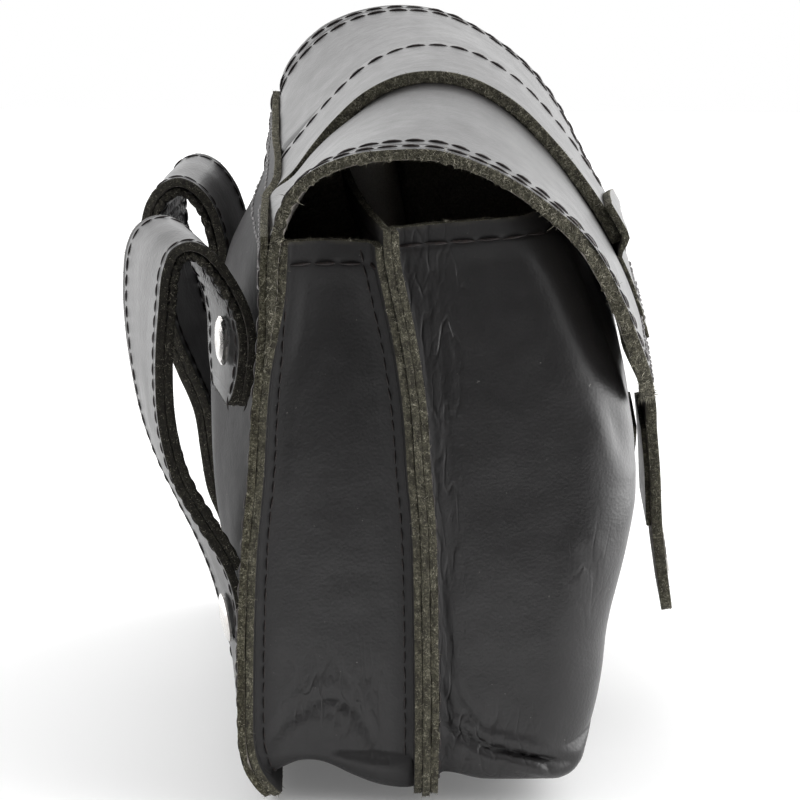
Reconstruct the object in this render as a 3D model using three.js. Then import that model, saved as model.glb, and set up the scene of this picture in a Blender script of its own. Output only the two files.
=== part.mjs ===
// A leather belt bag. A rear compartment and a front pocket share a middle seam, a flap with a centre
// strap closes over both, and two doubled loops on the back take a belt.
//
// Millimetres, +Z up. X runs along the bag's width, the pocket faces -Y and the belt loops face +Y.
// The origin is on the ground, under the middle of the whole bag.

import * as THREE from "three";
import { mergeVertices } from "three/addons/utils/BufferGeometryUtils.js";

// --- Driving dimensions ---------------------------------------------------------------------------

const WIDTH = 180; // over the raw side edges of the seams
const HEIGHT = 125; // of the back panel, where its top edge is level
const GUSSET_HEIGHT = 126.4;
const DIVIDER_HEIGHT = 130.2;
const POCKET_HEIGHT = 129.6; // at its flanges
const CORNER = 10; // radius of the seams' bottom corners
const SEAM = 6; // width of the turned-out flanges that the seams join
const FLANGE_EDGE = 0.2; // how far the flanges' raw edges stay inside the panels' edges
const BODY = 1.7; // thickness of the panels, the gusset and the pocket
const FLAP = 2.4; // thickness of the flap
const FLAP_STRAP = 2.8; // thickness of the flap's centre strap
const FLAP_PATCH = 1.6; // thickness of the cross patch over that strap's end
const STRAP = 2.0; // thickness of the closure tab and of each layer of a belt loop
const POCKET_PATCH = 1.5; // thickness of the closure patch on the pocket
const TAB_PATCH = 1.2; // thickness of the closure patch on the tab
const GAP = 0.3; // clearance between neighbouring layers

const FLAP_WIDTH = 182;
const FLAP_CORNER = 20; // radius of the flap's front corners
const FLAP_END = 128.5; // run of the flap's front edge, measured over the top from the back panel
const TAIL = 18; // how far the flap and its strap reach down inside the back panel
const STRAP_WIDTH = 38;
const STRAP_DIP = 2.9; // how deep the centre strap's tail lies in the flap
const PATCH_WIDTH = 42;
const TAB_WIDTH = 38;
const TAB_CORNER = 5;
const CLOSURE_PATCH = { width: 34, low: 45.3, high: 68 }; // on the pocket, and facing it on the tab
const LOOP_WIDTH = 29;
const LOOP_SPACING = 72; // between the middles of the two belt loops
const CAP_RADIUS = 5.6; // snap and rivet caps
const CAP_RISE = 1.3;
const CAP_SHIFT = -4; // the loops' caps sit a little off their middles, all to one side
const SNAP_HEIGHT = 94; // upper cap of a belt loop, on its lining
const RIVET_HEIGHT = 29; // lower cap, on its outer layer
const TAB_CAP_HEIGHT = 34;

const LEATHER = { color: 0x1b1b1c, roughness: 0.42, metalness: 0 };
const METAL = { color: 0xc9c7c2, roughness: 0.25, metalness: 1 };

// --- Section tables -------------------------------------------------------------------------------

// Outer face of the back panel: its distance back at the side edges and over the middle ridge.
const BACK_PANEL = [
  { z: 0, end: 29.4, mid: 29.4 },
  { z: 4, end: 31.9, mid: 31.4 },
  { z: 9, end: 34.4, mid: 33.2 },
  { z: 15, end: 35.5, mid: 34.5 },
  { z: 22, end: 35.6, mid: 36.2 },
  { z: 30, end: 35.6, mid: 38.6 },
  { z: 42, end: 35.4, mid: 41.0 },
  { z: 58, end: 34.8, mid: 42.5 },
  { z: 74, end: 33.4, mid: 42.9 },
  { z: 90, end: 32.6, mid: 42.2 },
  { z: 102, end: 31.6, mid: 39.9 },
  { z: 111, end: 31.2, mid: 36.9 },
  { z: 118, end: 31.0, mid: 33.6 },
  { z: 125, end: 30.7, mid: 30.7 },
];

// Across the bag: how much of the ridge the back panel has, how far the belt loops pull it in beside
// the ridge, and how far its top edge moves back (drawn in over the strap's tail).
const BACK_RIDGE = [
  { x: -90, part: 0, hollow: 0, top: 0 },
  { x: -72, part: 0, hollow: 0.9, top: 0.2 },
  { x: -52, part: 0, hollow: 1.8, top: 0.3 },
  { x: -36, part: 0.14, hollow: 0.8, top: 0.2 },
  { x: -27, part: 0.34, hollow: 0.3, top: 0 },
  { x: -18, part: 0.62, hollow: 0, top: -1.3 },
  { x: -8, part: 0.95, hollow: 0, top: -2.4 },
  { x: 6, part: 0.97, hollow: 0, top: -2.6 },
  { x: 20, part: 0.68, hollow: 0, top: -2.3 },
  { x: 36, part: 0.3, hollow: 0.3, top: -1.6 },
  { x: 55, part: 0.02, hollow: 0.8, top: -1.4 },
  { x: 72, part: 0, hollow: 0.5, top: -1.3 },
  { x: 90, part: 0, hollow: 0, top: -1.3 },
];

// How much higher the back panel's top edge is than HEIGHT.
const TOP_EDGE = [
  { x: -90, lift: 3.4 },
  { x: -72, lift: 2.0 },
  { x: -52, lift: 0.6 },
  { x: -30, lift: -0.6 },
  { x: 0, lift: -0.9 },
  { x: 40, lift: -0.4 },
  { x: 90, lift: 0 },
];

// Middle seam: the divider's place at its side edges, and how far its middle bows to the back.
const MIDDLE_SEAM = [
  { z: 0, end: -6.2, bow: 0 },
  { z: 15, end: -6.2, bow: 0.2 },
  { z: 27, end: -6.1, bow: 0.5 },
  { z: 45, end: -5.8, bow: 1.2 },
  { z: 62, end: -5.3, bow: 2 },
  { z: 76, end: -4.1, bow: 3 },
  { z: 90, end: -3.1, bow: 4.4 },
  { z: 105, end: -0.9, bow: 6.2 },
  { z: 115, end: 1.2, bow: 7.4 },
  { z: 124, end: 3.0, bow: 8.6 },
  { z: 131, end: 3.3, bow: 9.6 },
];

// Front face of the pocket beside its rounded side corners, and over the middle.
const POCKET_FRONT = [
  { z: 0, end: -38.5, mid: -38.5 },
  { z: 12, end: -42.2, mid: -42.2 },
  { z: 24, end: -44.8, mid: -44.8 },
  { z: 36, end: -46.2, mid: -47.0 },
  { z: 46, end: -47.9, mid: -49.6 },
  { z: 57, end: -50.3, mid: -52.2 },
  { z: 68, end: -51.7, mid: -53.4 },
  { z: 82, end: -50.9, mid: -52.0 },
  { z: 92, end: -49.0, mid: -49.2 },
  { z: 100, end: -46.4, mid: -45.8 },
  { z: 110, end: -42.4, mid: -41.6 },
  { z: 120, end: -37.6, mid: -37.2 },
  { z: 130, end: -31.0, mid: -30.2 },
];

// Outer face of the flap along its near edge (-X), its middle and its far edge (+X). run is measured
// over the top.
const FLAP_LINE = [
  { run: 5, nearY: 28.2, nearZ: 129.4, midY: 23.6, midZ: 128.1, farY: 26.9, farZ: 129.2 },
  { run: 12, nearY: 26.1, nearZ: 136.1, midY: 18.8, midZ: 133.3, farY: 23.5, farZ: 135.3 },
  { run: 20, nearY: 21.1, nearZ: 142.2, midY: 13.0, midZ: 138.8, farY: 17.9, farZ: 140.9 },
  { run: 30, nearY: 12.2, nearZ: 146.6, midY: 5.0, midZ: 144.8, farY: 8.9, farZ: 145.2 },
  { run: 40, nearY: 2.3, nearZ: 148.2, midY: -4.3, midZ: 148.3, farY: -1.0, farZ: 146.5 },
  { run: 50, nearY: -7.6, nearZ: 147.9, midY: -14.2, midZ: 147.7, farY: -10.8, farZ: 145.3 },
  { run: 62, nearY: -19.0, nearZ: 144.1, midY: -24.7, midZ: 142.2, farY: -21.8, farZ: 140.2 },
  { run: 75, nearY: -30.2, nearZ: 137.6, midY: -33.8, midZ: 132.9, farY: -32.2, farZ: 132.6 },
  { run: 88, nearY: -39.9, nearZ: 129.0, midY: -41.6, midZ: 122.4, farY: -40.3, farZ: 122.2 },
  { run: 100, nearY: -46.3, nearZ: 118.9, midY: -47.9, midZ: 112.1, farY: -45.8, farZ: 111.6 },
  { run: 113, nearY: -51.4, nearZ: 106.9, midY: -53.4, midZ: 100.3, farY: -51.7, farZ: 99.9 },
  { run: 124, nearY: -54.8, nearZ: 96.5, midY: -56.6, midZ: 89.7, farY: -55.6, farZ: 89.4 },
  { run: 134, nearY: -56.2, nearZ: 86.6, midY: -58.2, midZ: 79.8, farY: -57.2, farZ: 79.5 },
];

// Middle line of the closure tab below the flap's front edge.
const TAB_LINE = [
  { y: -57.9, z: 76 },
  { y: -58.6, z: 68 },
  { y: -59.5, z: 58 },
  { y: -60.2, z: 45 },
  { y: -61.4, z: 35 },
  { y: -62.9, z: 24.4 },
];

// Belt loops: the line of their outer face from the lower end, up, over and down to the upper end.
// lean is how fast that line moves back along X, because each loop stands square to the back panel.
const LEFT_LOOP = [
  { y: 36.6, z: 11, lean: 0.02 },
  { y: 37.3, z: 18, lean: 0.08 },
  { y: 38.2, z: 26, lean: 0.15 },
  { y: 39.8, z: 35, lean: 0.22 },
  { y: 42.6, z: 43, lean: 0.25 },
  { y: 47.4, z: 52, lean: 0.22 },
  { y: 52.6, z: 62, lean: 0.18 },
  { y: 55.6, z: 71, lean: 0.19 },
  { y: 57.3, z: 80, lean: 0.21 },
  { y: 58.3, z: 92, lean: 0.26 },
  { y: 58.2, z: 103, lean: 0.3 },
  { y: 57.2, z: 112, lean: 0.3 },
  { y: 54.9, z: 116.6, lean: 0.28 },
  { y: 50.6, z: 118.6, lean: 0.26 },
  { y: 46.6, z: 117.5, lean: 0.25 },
  { y: 43.0, z: 114, lean: 0.25 },
  { y: 39.4, z: 108.6, lean: 0.25 },
  { y: 37.0, z: 103, lean: 0.26 },
  { y: 35.7, z: 96, lean: 0.24 },
  { y: 35.8, z: 89, lean: 0.2 },
  { y: 36.1, z: 82.5, lean: 0.18 },
  { y: 36.5, z: 77.7, lean: 0.18 },
];
const RIGHT_LOOP = [
  { y: 37.2, z: 11, lean: 0 },
  { y: 37.9, z: 18, lean: -0.02 },
  { y: 38.6, z: 26, lean: -0.05 },
  { y: 39.6, z: 35, lean: -0.1 },
  { y: 42.1, z: 43, lean: -0.14 },
  { y: 43.4, z: 52, lean: -0.16 },
  { y: 45.0, z: 62, lean: -0.16 },
  { y: 48.8, z: 71, lean: -0.15 },
  { y: 52.6, z: 80, lean: -0.15 },
  { y: 55.9, z: 92, lean: -0.15 },
  { y: 57.6, z: 103, lean: -0.15 },
  { y: 56.2, z: 112, lean: -0.15 },
  { y: 53.0, z: 116.4, lean: -0.15 },
  { y: 49.0, z: 118.0, lean: -0.15 },
  { y: 45.2, z: 116.8, lean: -0.15 },
  { y: 41.4, z: 113, lean: -0.15 },
  { y: 38.6, z: 107, lean: -0.16 },
  { y: 37.1, z: 100, lean: -0.17 },
  { y: 36.9, z: 92, lean: -0.18 },
  { y: 37.5, z: 84.5, lean: -0.18 },
  { y: 37.9, z: 77.5, lean: -0.18 },
];
const LINING_START = 42; // height where a belt loop's lining begins

// --- Small tools ----------------------------------------------------------------------------------

const SEARCH = 400; // steps in which a curve is measured and searched
const lerp = THREE.MathUtils.lerp;
const smoothstep = THREE.MathUtils.smoothstep;

function steps(count, from = 0, to = 1) {
  return Array.from({ length: count + 1 }, (_, i) => lerp(from, to, i / count));
}

// Smooth value of one column of a table whose rows are sorted by another column.
function along(rows, key, column, at) {
  const last = rows.length - 1;
  const found = rows.findIndex((row) => row[key] >= at);
  const i = THREE.MathUtils.clamp(found < 0 ? last : found, 1, last);
  const slope = (j) => {
    const a = rows[Math.max(j - 1, 0)];
    const b = rows[Math.min(j + 1, last)];
    return (b[column] - a[column]) / (b[key] - a[key]);
  };
  const [low, high] = [rows[i - 1], rows[i]];
  const span = high[key] - low[key];
  const t = THREE.MathUtils.clamp((at - low[key]) / span, 0, 1);
  const rise = high[column] - low[column];
  const [s0, s1] = [slope(i - 1) * span, slope(i) * span];
  return low[column] + t * (s0 + t * (3 * rise - 2 * s0 - s1 + t * (s0 + s1 - 2 * rise)));
}

// Open surface from a grid: place(column, row) gives each point of its middle.
function grid(columns, rows, place) {
  const positions = [];
  const triangles = [];
  columns.forEach((u, i) => {
    rows.forEach((v, j) => {
      positions.push(...place(u, v).toArray());
      if (i === 0 || j === 0) return;
      const d = i * rows.length + j;
      const [a, b, c] = [d - rows.length - 1, d - 1, d - rows.length];
      triangles.push(a, b, d, a, d, c);
    });
  });
  const surface = new THREE.BufferGeometry();
  surface.setAttribute("position", new THREE.Float32BufferAttribute(positions, 3));
  surface.setIndex(triangles);
  return surface;
}

// Closed sheet of leather: half the thickness on each side of a surface, and a rim on its free edges.
function sheet(surface, thickness) {
  const middle = mergeVertices(surface, 1e-3);
  const index = Array.from(middle.index.array);
  const faces = [];
  for (let i = 0; i < index.length; i += 3) {
    const face = index.slice(i, i + 3);
    if (new Set(face).size === 3) faces.push(face);
  }
  middle.setIndex(faces.flat());
  middle.computeVertexNormals();

  const count = middle.attributes.position.count;
  const positions = [];
  for (const side of [thickness / 2, -thickness / 2]) {
    for (let i = 0; i < count; i++) {
      const point = new THREE.Vector3().fromBufferAttribute(middle.attributes.position, i);
      const normal = new THREE.Vector3().fromBufferAttribute(middle.attributes.normal, i);
      positions.push(...point.addScaledVector(normal, side).toArray());
    }
  }

  const edges = new Set(faces.flatMap(([a, b, c]) => [`${a},${b}`, `${b},${c}`, `${c},${a}`]));
  const triangles = faces.flatMap(([a, b, c]) => [a, b, c, a + count, c + count, b + count]);
  for (const edge of edges) {
    const [a, b] = edge.split(",").map(Number);
    if (!edges.has(`${b},${a}`)) triangles.push(b, a, a + count, b, a + count, b + count);
  }
  const geometry = new THREE.BufferGeometry();
  geometry.setAttribute("position", new THREE.Float32BufferAttribute(positions, 3));
  geometry.setIndex(triangles);
  geometry.computeVertexNormals();
  return geometry;
}

// Rounded end of a strip: how much shorter the strip is at a distance from its middle.
function roundOff(x, width, radius) {
  const past = Math.max(Math.abs(x) - (width / 2 - radius), 0);
  return radius - Math.sqrt(Math.max(radius * radius - past * past, 0));
}

// Columns across a strip with rounded corners, closer together round the corners.
function columnsAcross(width, radius, inner, corner = 4) {
  const straight = width / 2 - radius;
  const arc = steps(corner, 0, Math.PI / 2).map((angle) => straight + radius * Math.sin(angle));
  const half = steps(inner, 0, straight).slice(0, -1).concat(arc);
  return half.slice(1).reverse().map((x) => -x).concat(half);
}

// --- Shared surfaces ------------------------------------------------------------------------------

// Middle of the back panel's leather.
function backPanel(x, z) {
  const part = along(BACK_RIDGE, "x", "part", x);
  const pulled = smoothstep(z, 4, 20) * (1 - smoothstep(z, HEIGHT - 30, HEIGHT - 6));
  const hollow = along(BACK_RIDGE, "x", "hollow", x) * pulled;
  const face = lerp(along(BACK_PANEL, "z", "end", z), along(BACK_PANEL, "z", "mid", z), part) - hollow;
  const top = along(BACK_RIDGE, "x", "top", x) * smoothstep(z, HEIGHT - 20, HEIGHT - 1);
  return new THREE.Vector3(x, face - BODY / 2 + top, z);
}

// A point in front of the back panel's middle, square to the panel.
function insideBack(x, z, distance) {
  const step = 0.5;
  const point = backPanel(x, z);
  const sideways = backPanel(x + step, z).sub(point);
  const upward = backPanel(x, z + step).sub(point);
  return point.addScaledVector(upward.cross(sideways).normalize(), -distance);
}

function divider(x, z) {
  const bow = along(MIDDLE_SEAM, "z", "bow", z) * (1 - (2 * x / WIDTH) ** 2);
  return new THREE.Vector3(x, along(MIDDLE_SEAM, "z", "end", z) + bow, z);
}

// The seams' U-shaped outline, from the top of one side to the top of the other.
function seamStations(top) {
  const half = WIDTH / 2;
  const side = steps(8, top, CORNER).map((z) => ({ x: half, z, outX: 1, outZ: 0 }));
  const arc = steps(3, 0, Math.PI / 2).slice(1).map((angle) => ({
    x: half - CORNER + CORNER * Math.cos(angle),
    z: CORNER - CORNER * Math.sin(angle),
    outX: Math.cos(angle),
    outZ: -Math.sin(angle),
  }));
  const base = steps(5, half - CORNER, 0).slice(1).map((x) => ({ x, z: 0, outX: 0, outZ: -1 }));
  const right = [...side, ...arc, ...base];
  const left = right.slice(0, -1).reverse().map((at) => ({ ...at, x: -at.x, outX: -at.outX }));
  return [...right, ...left];
}

// A point at an inset from the seams' outline, at a depth y.
function inset(at, distance, y) {
  return new THREE.Vector3(at.x - at.outX * distance, y, at.z - at.outZ * distance);
}

// Line of the flap's outer face in the YZ plane at x: its tail, then over the top to the front.
const flapLines = new Map();
function flapLine(x) {
  if (!flapLines.has(x)) {
    const u = 2 * x / FLAP_WIDTH;
    const blend = (near, mid, far) => (
      near * (u * u - u) / 2 + mid * (1 - u * u) + far * (u * u + u) / 2
    );
    const inward = THREE.MathUtils.clamp(x, -WIDTH / 2, WIDTH / 2);
    const tail = steps(4, HEIGHT - TAIL, HEIGHT - 0.5)
      .map((z) => insideBack(inward, z, BODY / 2 + GAP * 2.4).setX(0));
    const arch = FLAP_LINE.map((row) => new THREE.Vector3(
      0,
      blend(row.nearY, row.midY, row.farY),
      blend(row.nearZ, row.midZ, row.farZ),
    ));
    const curve = new THREE.CatmullRomCurve3([...tail, ...arch], false, "centripetal");
    curve.arcLengthDivisions = SEARCH;
    flapLines.set(x, { curve, length: curve.getLength() });
  }
  return flapLines.get(x);
}

// A point on the flap: run along its line from the top of the back panel, lift above its outer face.
// The strap's tail lies in a dip of the flap.
function overFlap(x, run, lift) {
  const underStrap = 1 - smoothstep(Math.abs(x), STRAP_WIDTH / 2 + 1, STRAP_WIDTH / 2 + 6);
  const dip = STRAP_DIP * underStrap * (1 - smoothstep(run, 0, 38));
  const { curve, length } = flapLine(x);
  const u = THREE.MathUtils.clamp((run + TAIL) / length, 0, 1);
  const tangent = curve.getTangentAt(u);
  const normal = new THREE.Vector3(0, -tangent.z, tangent.y).negate();
  return curve.getPointAt(u).addScaledVector(normal, lift - dip).setX(x);
}

// --- Body of the bag ------------------------------------------------------------------------------

function makePanel(surface, topAt, across, up) {
  const columns = columnsAcross(WIDTH, CORNER, across, 3);
  return sheet(grid(columns, steps(up), (x, v) => {
    const z = lerp(roundOff(x, WIDTH, CORNER), topAt(x), v);
    return surface(x, z);
  }), BODY);
}

// Flange, bend, wall, bend and flange of the rear gusset: insets from the outline, and places across
// from the back seam (0) to the middle seam (1).
const BEND = 2.4; // radius where a flange turns into its wall
const MID_BEND = BEND * (1 - Math.SQRT1_2);
const GUSSET_SECTION = [
  { inset: FLANGE_EDGE, across: 0, bend: 0 },
  { inset: SEAM - BEND, across: 0, bend: 0 },
  { inset: SEAM - MID_BEND, across: 0, bend: MID_BEND },
  { inset: SEAM, across: 0, bend: BEND },
  { inset: SEAM, across: 0.25, bend: 0 },
  { inset: SEAM, across: 0.42, bend: 0 },
  { inset: SEAM, across: 0.6, bend: 0 },
  { inset: SEAM, across: 0.78, bend: 0 },
  { inset: SEAM, across: 1, bend: -BEND },
  { inset: SEAM - MID_BEND, across: 1, bend: -MID_BEND },
  { inset: SEAM - BEND, across: 1, bend: 0 },
  { inset: FLANGE_EDGE, across: 1, bend: 0 },
];
const GUSSET_HOLLOW = 1.5; // how far the gusset's sides sink in between their flanges
const GUSSET_ARCH = 3.6; // how far its bottom is pushed up beside the back seam at the corners
const GUSSET_FALL = 3.6; // how much narrower its bottom flange is at the middle seam
const GUSSET_SAG = 1.6; // how far its bottom hangs down beside the middle seam

function makeGusset() {
  return sheet(grid(seamStations(GUSSET_HEIGHT), GUSSET_SECTION, (at, section) => {
    const bottom = Math.max(-at.outZ, 0);
    const fall = bottom * GUSSET_FALL * smoothstep(section.across, 0.2, 0.85);
    const root = Math.min(section.inset, SEAM - fall * (section.inset / SEAM));
    const edge = inset(at, root, 0);
    const underTail = smoothstep(edge.z, HEIGHT - TAIL - 12, HEIGHT - TAIL - 2);
    const behind = (BODY + GAP * 2) * lerp(1.35, 1.1, smoothstep(edge.z, 4, 16));
    const back = backPanel(edge.x, edge.z).y - behind - underTail * (FLAP + GAP * 3.6);
    const front = divider(edge.x, edge.z).y + BODY + GAP;
    const middle = Math.sin(Math.PI * section.across);
    const corner = Math.exp(-(((Math.abs(edge.x) - (WIDTH / 2 - CORNER)) / 18) ** 2));
    const arch = bottom * corner * GUSSET_ARCH * Math.sin(Math.PI * (1 - section.across) ** 1.3);
    const sag = bottom * GUSSET_SAG * middle * smoothstep(section.across, 0.2, 0.6);
    const push = (1 - bottom) * GUSSET_HOLLOW * middle + arch - sag;
    const y = lerp(back, front, section.across) - section.bend;
    return inset(at, root + push, y);
  }), BODY);
}

// Flange, bend and side wall of the pocket, then its rounded edge and its front face.
const POCKET_WALL = [
  { inset: FLANGE_EDGE, depth: 0, bend: 0 },
  { inset: SEAM - BEND, depth: 0, bend: 0 },
  { inset: SEAM - MID_BEND, depth: 0, bend: MID_BEND },
  { inset: SEAM, depth: 0, bend: BEND },
  { inset: SEAM, depth: 0.3, bend: 0 },
  { inset: SEAM, depth: 0.55, bend: 0 },
  { inset: SEAM, depth: 0.8, bend: 0 },
];
const POCKET_EDGE = 13; // radius of the pocket's rounded front edges
const POCKET_SAG = 1.6; // how far the pocket's bottom hangs below its flange's root
const POCKET_HEART = 52; // height of the point where the front face's lower fan of lines meets
const POCKET_RISE = 1.8; // how much higher the pocket's near top corner is in front than at the seam

function pocketFront(x, z) {
  const fullness = Math.max(1 - (2 * x / WIDTH) ** 2, 0);
  return lerp(along(POCKET_FRONT, "z", "end", z), along(POCKET_FRONT, "z", "mid", z), fullness);
}

function makePocket() {
  const rounding = steps(4, 0, Math.PI / 2).map((angle) => ({ angle }));
  const face = [0.25, 0.5, 0.75, 1].map((part) => ({ part }));
  return sheet(grid(seamStations(POCKET_HEIGHT), [...POCKET_WALL, ...rounding, ...face], (at, row) => {
    const bottom = Math.max(-at.outZ, 0);
    const flange = inset(at, Math.min(row.inset ?? SEAM, SEAM), 0);
    const seam = divider(flange.x, flange.z).y - BODY - GAP;
    const foot = inset(at, SEAM, 0);
    const front = pocketFront(foot.x, Math.max(foot.z, 0)) + BODY / 2;
    const rise = lerp(POCKET_RISE, 0, smoothstep(at.x, -60, 60));
    const atTop = smoothstep(at.z, POCKET_HEIGHT - 30, POCKET_HEIGHT) * rise;
    if (row.inset !== undefined) {
      const depth = row.depth * (seam - front - POCKET_EDGE);
      const sag = row.depth > 0 ? bottom * POCKET_SAG * smoothstep(row.depth, 0, 0.4) : 0;
      const point = inset(at, row.inset - sag, seam - depth - row.bend);
      point.z += atTop * row.depth;
      return point;
    }
    const heart = new THREE.Vector3(0, 0, Math.max(foot.z, POCKET_HEART));
    const toHeart = heart.clone().sub(foot);
    const reach = toHeart.length();
    toHeart.normalize();
    const slant = -(toHeart.x * at.outX + toHeart.z * at.outZ);
    const edge = POCKET_EDGE / Math.max(slant, 0.45);
    const turned = row.angle ?? Math.PI / 2;
    const start = edge * (1 - Math.cos(turned));
    const distance = row.part === undefined ? start : lerp(edge, reach, row.part);
    const point = foot.addScaledVector(toHeart, distance);
    const fade = Math.max(1 - distance / edge, 0);
    point.z -= bottom * POCKET_SAG * fade;
    point.y = pocketFront(point.x, point.z) + BODY / 2 + POCKET_EDGE * (1 - Math.sin(turned));
    point.z += atTop;
    return point;
  }), BODY);
}

// --- Flap, strap and closure ----------------------------------------------------------------------

function makeFlap() {
  const beside = [STRAP_WIDTH / 2 + 1, STRAP_WIDTH / 2 + 6];
  const columns = columnsAcross(FLAP_WIDTH, FLAP_CORNER, 3)
    .filter((x) => x === 0 || Math.abs(x) > beside[1] + 5)
    .concat(beside, beside.map((x) => -x))
    .sort((a, b) => a - b);
  return sheet(grid(columns, steps(20), (x, v) => {
    const end = FLAP_END - roundOff(x, FLAP_WIDTH, FLAP_CORNER);
    return overFlap(x, lerp(-TAIL, end, v), -FLAP / 2);
  }), FLAP);
}

const PATCH_START = 94.5; // run of the patch's top edge on the near side
const PATCH_SLANT = 4.5; // how much further down that edge is on the far side
const PATCH_END = 125.5;
const STRAP_END = 102.5; // run of the strap's front end, under the patch
const STRAP_LIFT = GAP + FLAP_STRAP / 2;

function makeStrap() {
  const half = STRAP_WIDTH / 2;
  return sheet(grid(steps(2, -half, half), steps(26, -TAIL, STRAP_END), (x, run) => (
    overFlap(x, run, STRAP_LIFT)
  )), FLAP_STRAP);
}

function makePatch() {
  const half = PATCH_WIDTH / 2;
  return sheet(grid(steps(2, -half, half), steps(11), (x, v) => {
    const run = lerp(PATCH_START + PATCH_SLANT * (x + half) / PATCH_WIDTH, PATCH_END, v);
    const overStrap = 1 - smoothstep(run, STRAP_END + 1, STRAP_END + 7);
    return overFlap(x, run, GAP + FLAP_PATCH / 2 + overStrap * (FLAP_STRAP + GAP));
  }), FLAP_PATCH);
}

// Middle line of the closure tab: under the flap's front, then hanging free.
function tabLine() {
  const under = steps(4, FLAP_END - 14, FLAP_END - 1)
    .map((run) => overFlap(0, run, -FLAP - GAP * 2.5 - STRAP / 2));
  const free = TAB_LINE.map((row) => new THREE.Vector3(0, row.y, row.z));
  return new THREE.CatmullRomCurve3([...under, ...free], false, "centripetal");
}

// A point of the tab's middle, lifted towards its outer face.
function onTab(line, length, x, run, lift) {
  const point = line.getPointAt(run / length);
  const tangent = line.getTangentAt(run / length);
  return point.addScaledVector(new THREE.Vector3(0, tangent.z, -tangent.y), lift).setX(x);
}

function makeTab() {
  const line = tabLine();
  const length = line.getLength();
  return sheet(grid(columnsAcross(TAB_WIDTH, TAB_CORNER, 1, 3), steps(16), (x, v) => (
    onTab(line, length, x, v * (length - roundOff(x, TAB_WIDTH, TAB_CORNER)), 0)
  )), STRAP);
}

function tabRunAt(line, length, z) {
  return steps(SEARCH, 0, length).find((run) => line.getPointAt(run / length).z <= z);
}

function makeTabPatch() {
  const line = tabLine();
  const length = line.getLength();
  const half = CLOSURE_PATCH.width / 2;
  const high = tabRunAt(line, length, CLOSURE_PATCH.high);
  const low = tabRunAt(line, length, CLOSURE_PATCH.low);
  return sheet(grid([-half, half], steps(5, high, low), (x, run) => (
    onTab(line, length, x, run, -(STRAP + TAB_PATCH) / 2 - GAP)
  )), TAB_PATCH);
}

function makePocketPatch() {
  const { width, low, high } = CLOSURE_PATCH;
  return sheet(grid(steps(4, -width / 2, width / 2), steps(5, low, high), (x, z) => (
    new THREE.Vector3(x, pocketFront(x, z) - GAP - POCKET_PATCH / 2, z)
  )), POCKET_PATCH);
}

// Domed metal cap that stands on a face: its flat base at the origin, its dome along +Y.
function cap(radius, rise) {
  const dome = steps(3, 0, Math.PI / 2).map((angle) => (
    new THREE.Vector2(radius * Math.cos(angle), rise * (0.35 + 0.65 * Math.sin(angle)))
  ));
  dome[dome.length - 1].x = 0;
  return new THREE.LatheGeometry([new THREE.Vector2(0, 0), new THREE.Vector2(radius, 0), ...dome], 16);
}

// --- Belt loops -----------------------------------------------------------------------------------

// A point on a belt loop: run along its line, lift above its outer face.
function onLoop(loop, across, run, lift) {
  const u = THREE.MathUtils.clamp(run / loop.length, 0, 1);
  const tangent = loop.line.getTangentAt(u);
  const point = loop.line.getPointAt(u);
  const lean = point.x;
  const normal = new THREE.Vector3(-lean * tangent.z, tangent.z, -tangent.y).normalize();
  point.set(loop.x + across, point.y + lean * across, point.z);
  return point.addScaledVector(normal, lift);
}

// The loop's line carries its lean in x.
function loopLine(rows, x) {
  const points = rows.map((row) => new THREE.Vector3(row.lean, row.y, row.z));
  const line = new THREE.CatmullRomCurve3(points, false, "centripetal");
  line.arcLengthDivisions = SEARCH;
  return { line, length: line.getLength(), x };
}

function makeLoopLayer(loop, start, end, lift, count) {
  const half = LOOP_WIDTH / 2;
  return sheet(grid([-half, half], steps(count, start, end), (across, run) => (
    onLoop(loop, across, run, lift)
  )), STRAP);
}

function runAtHeight(loop, z) {
  return steps(SEARCH, 0, loop.length / 2)
    .find((run) => loop.line.getPointAt(run / loop.length).z >= z);
}

// --- Assembly -------------------------------------------------------------------------------------

const bag = new THREE.Group();

function add(name, geometry, look) {
  const mesh = new THREE.Mesh(geometry, new THREE.MeshStandardMaterial(look));
  mesh.name = name;
  bag.add(mesh);
  return mesh;
}

// A metal cap with its base's middle at a point and its dome pointing along a direction.
function addCap(name, point, direction, clearance) {
  const mesh = add(name, cap(CAP_RADIUS, CAP_RISE), METAL);
  mesh.quaternion.setFromUnitVectors(new THREE.Vector3(0, 1, 0), direction.clone().normalize());
  mesh.position.copy(point).addScaledVector(direction.clone().normalize(), clearance);
}

const backTop = (x) => HEIGHT + along(TOP_EDGE, "x", "lift", x);
add("back_panel", makePanel(backPanel, backTop, 11, 20), LEATHER);
add("rear_gusset", makeGusset(), LEATHER);
add("divider", makePanel(divider, () => DIVIDER_HEIGHT, 6, 9), LEATHER);
add("front_pocket", makePocket(), LEATHER);
add("flap", makeFlap(), LEATHER);
add("flap_strap", makeStrap(), LEATHER);
add("flap_patch", makePatch(), LEATHER);
add("closure_tab", makeTab(), LEATHER);
add("tab_patch", makeTabPatch(), LEATHER);
add("pocket_patch", makePocketPatch(), LEATHER);

const tab = tabLine();
const tabLength = tab.getLength();
const tabAt = tabRunAt(tab, tabLength, TAB_CAP_HEIGHT);
const tabFace = onTab(tab, tabLength, 0, tabAt, STRAP / 2);
addCap("tab_cap", tabFace, onTab(tab, tabLength, 0, tabAt, STRAP).sub(tabFace), GAP);

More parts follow.
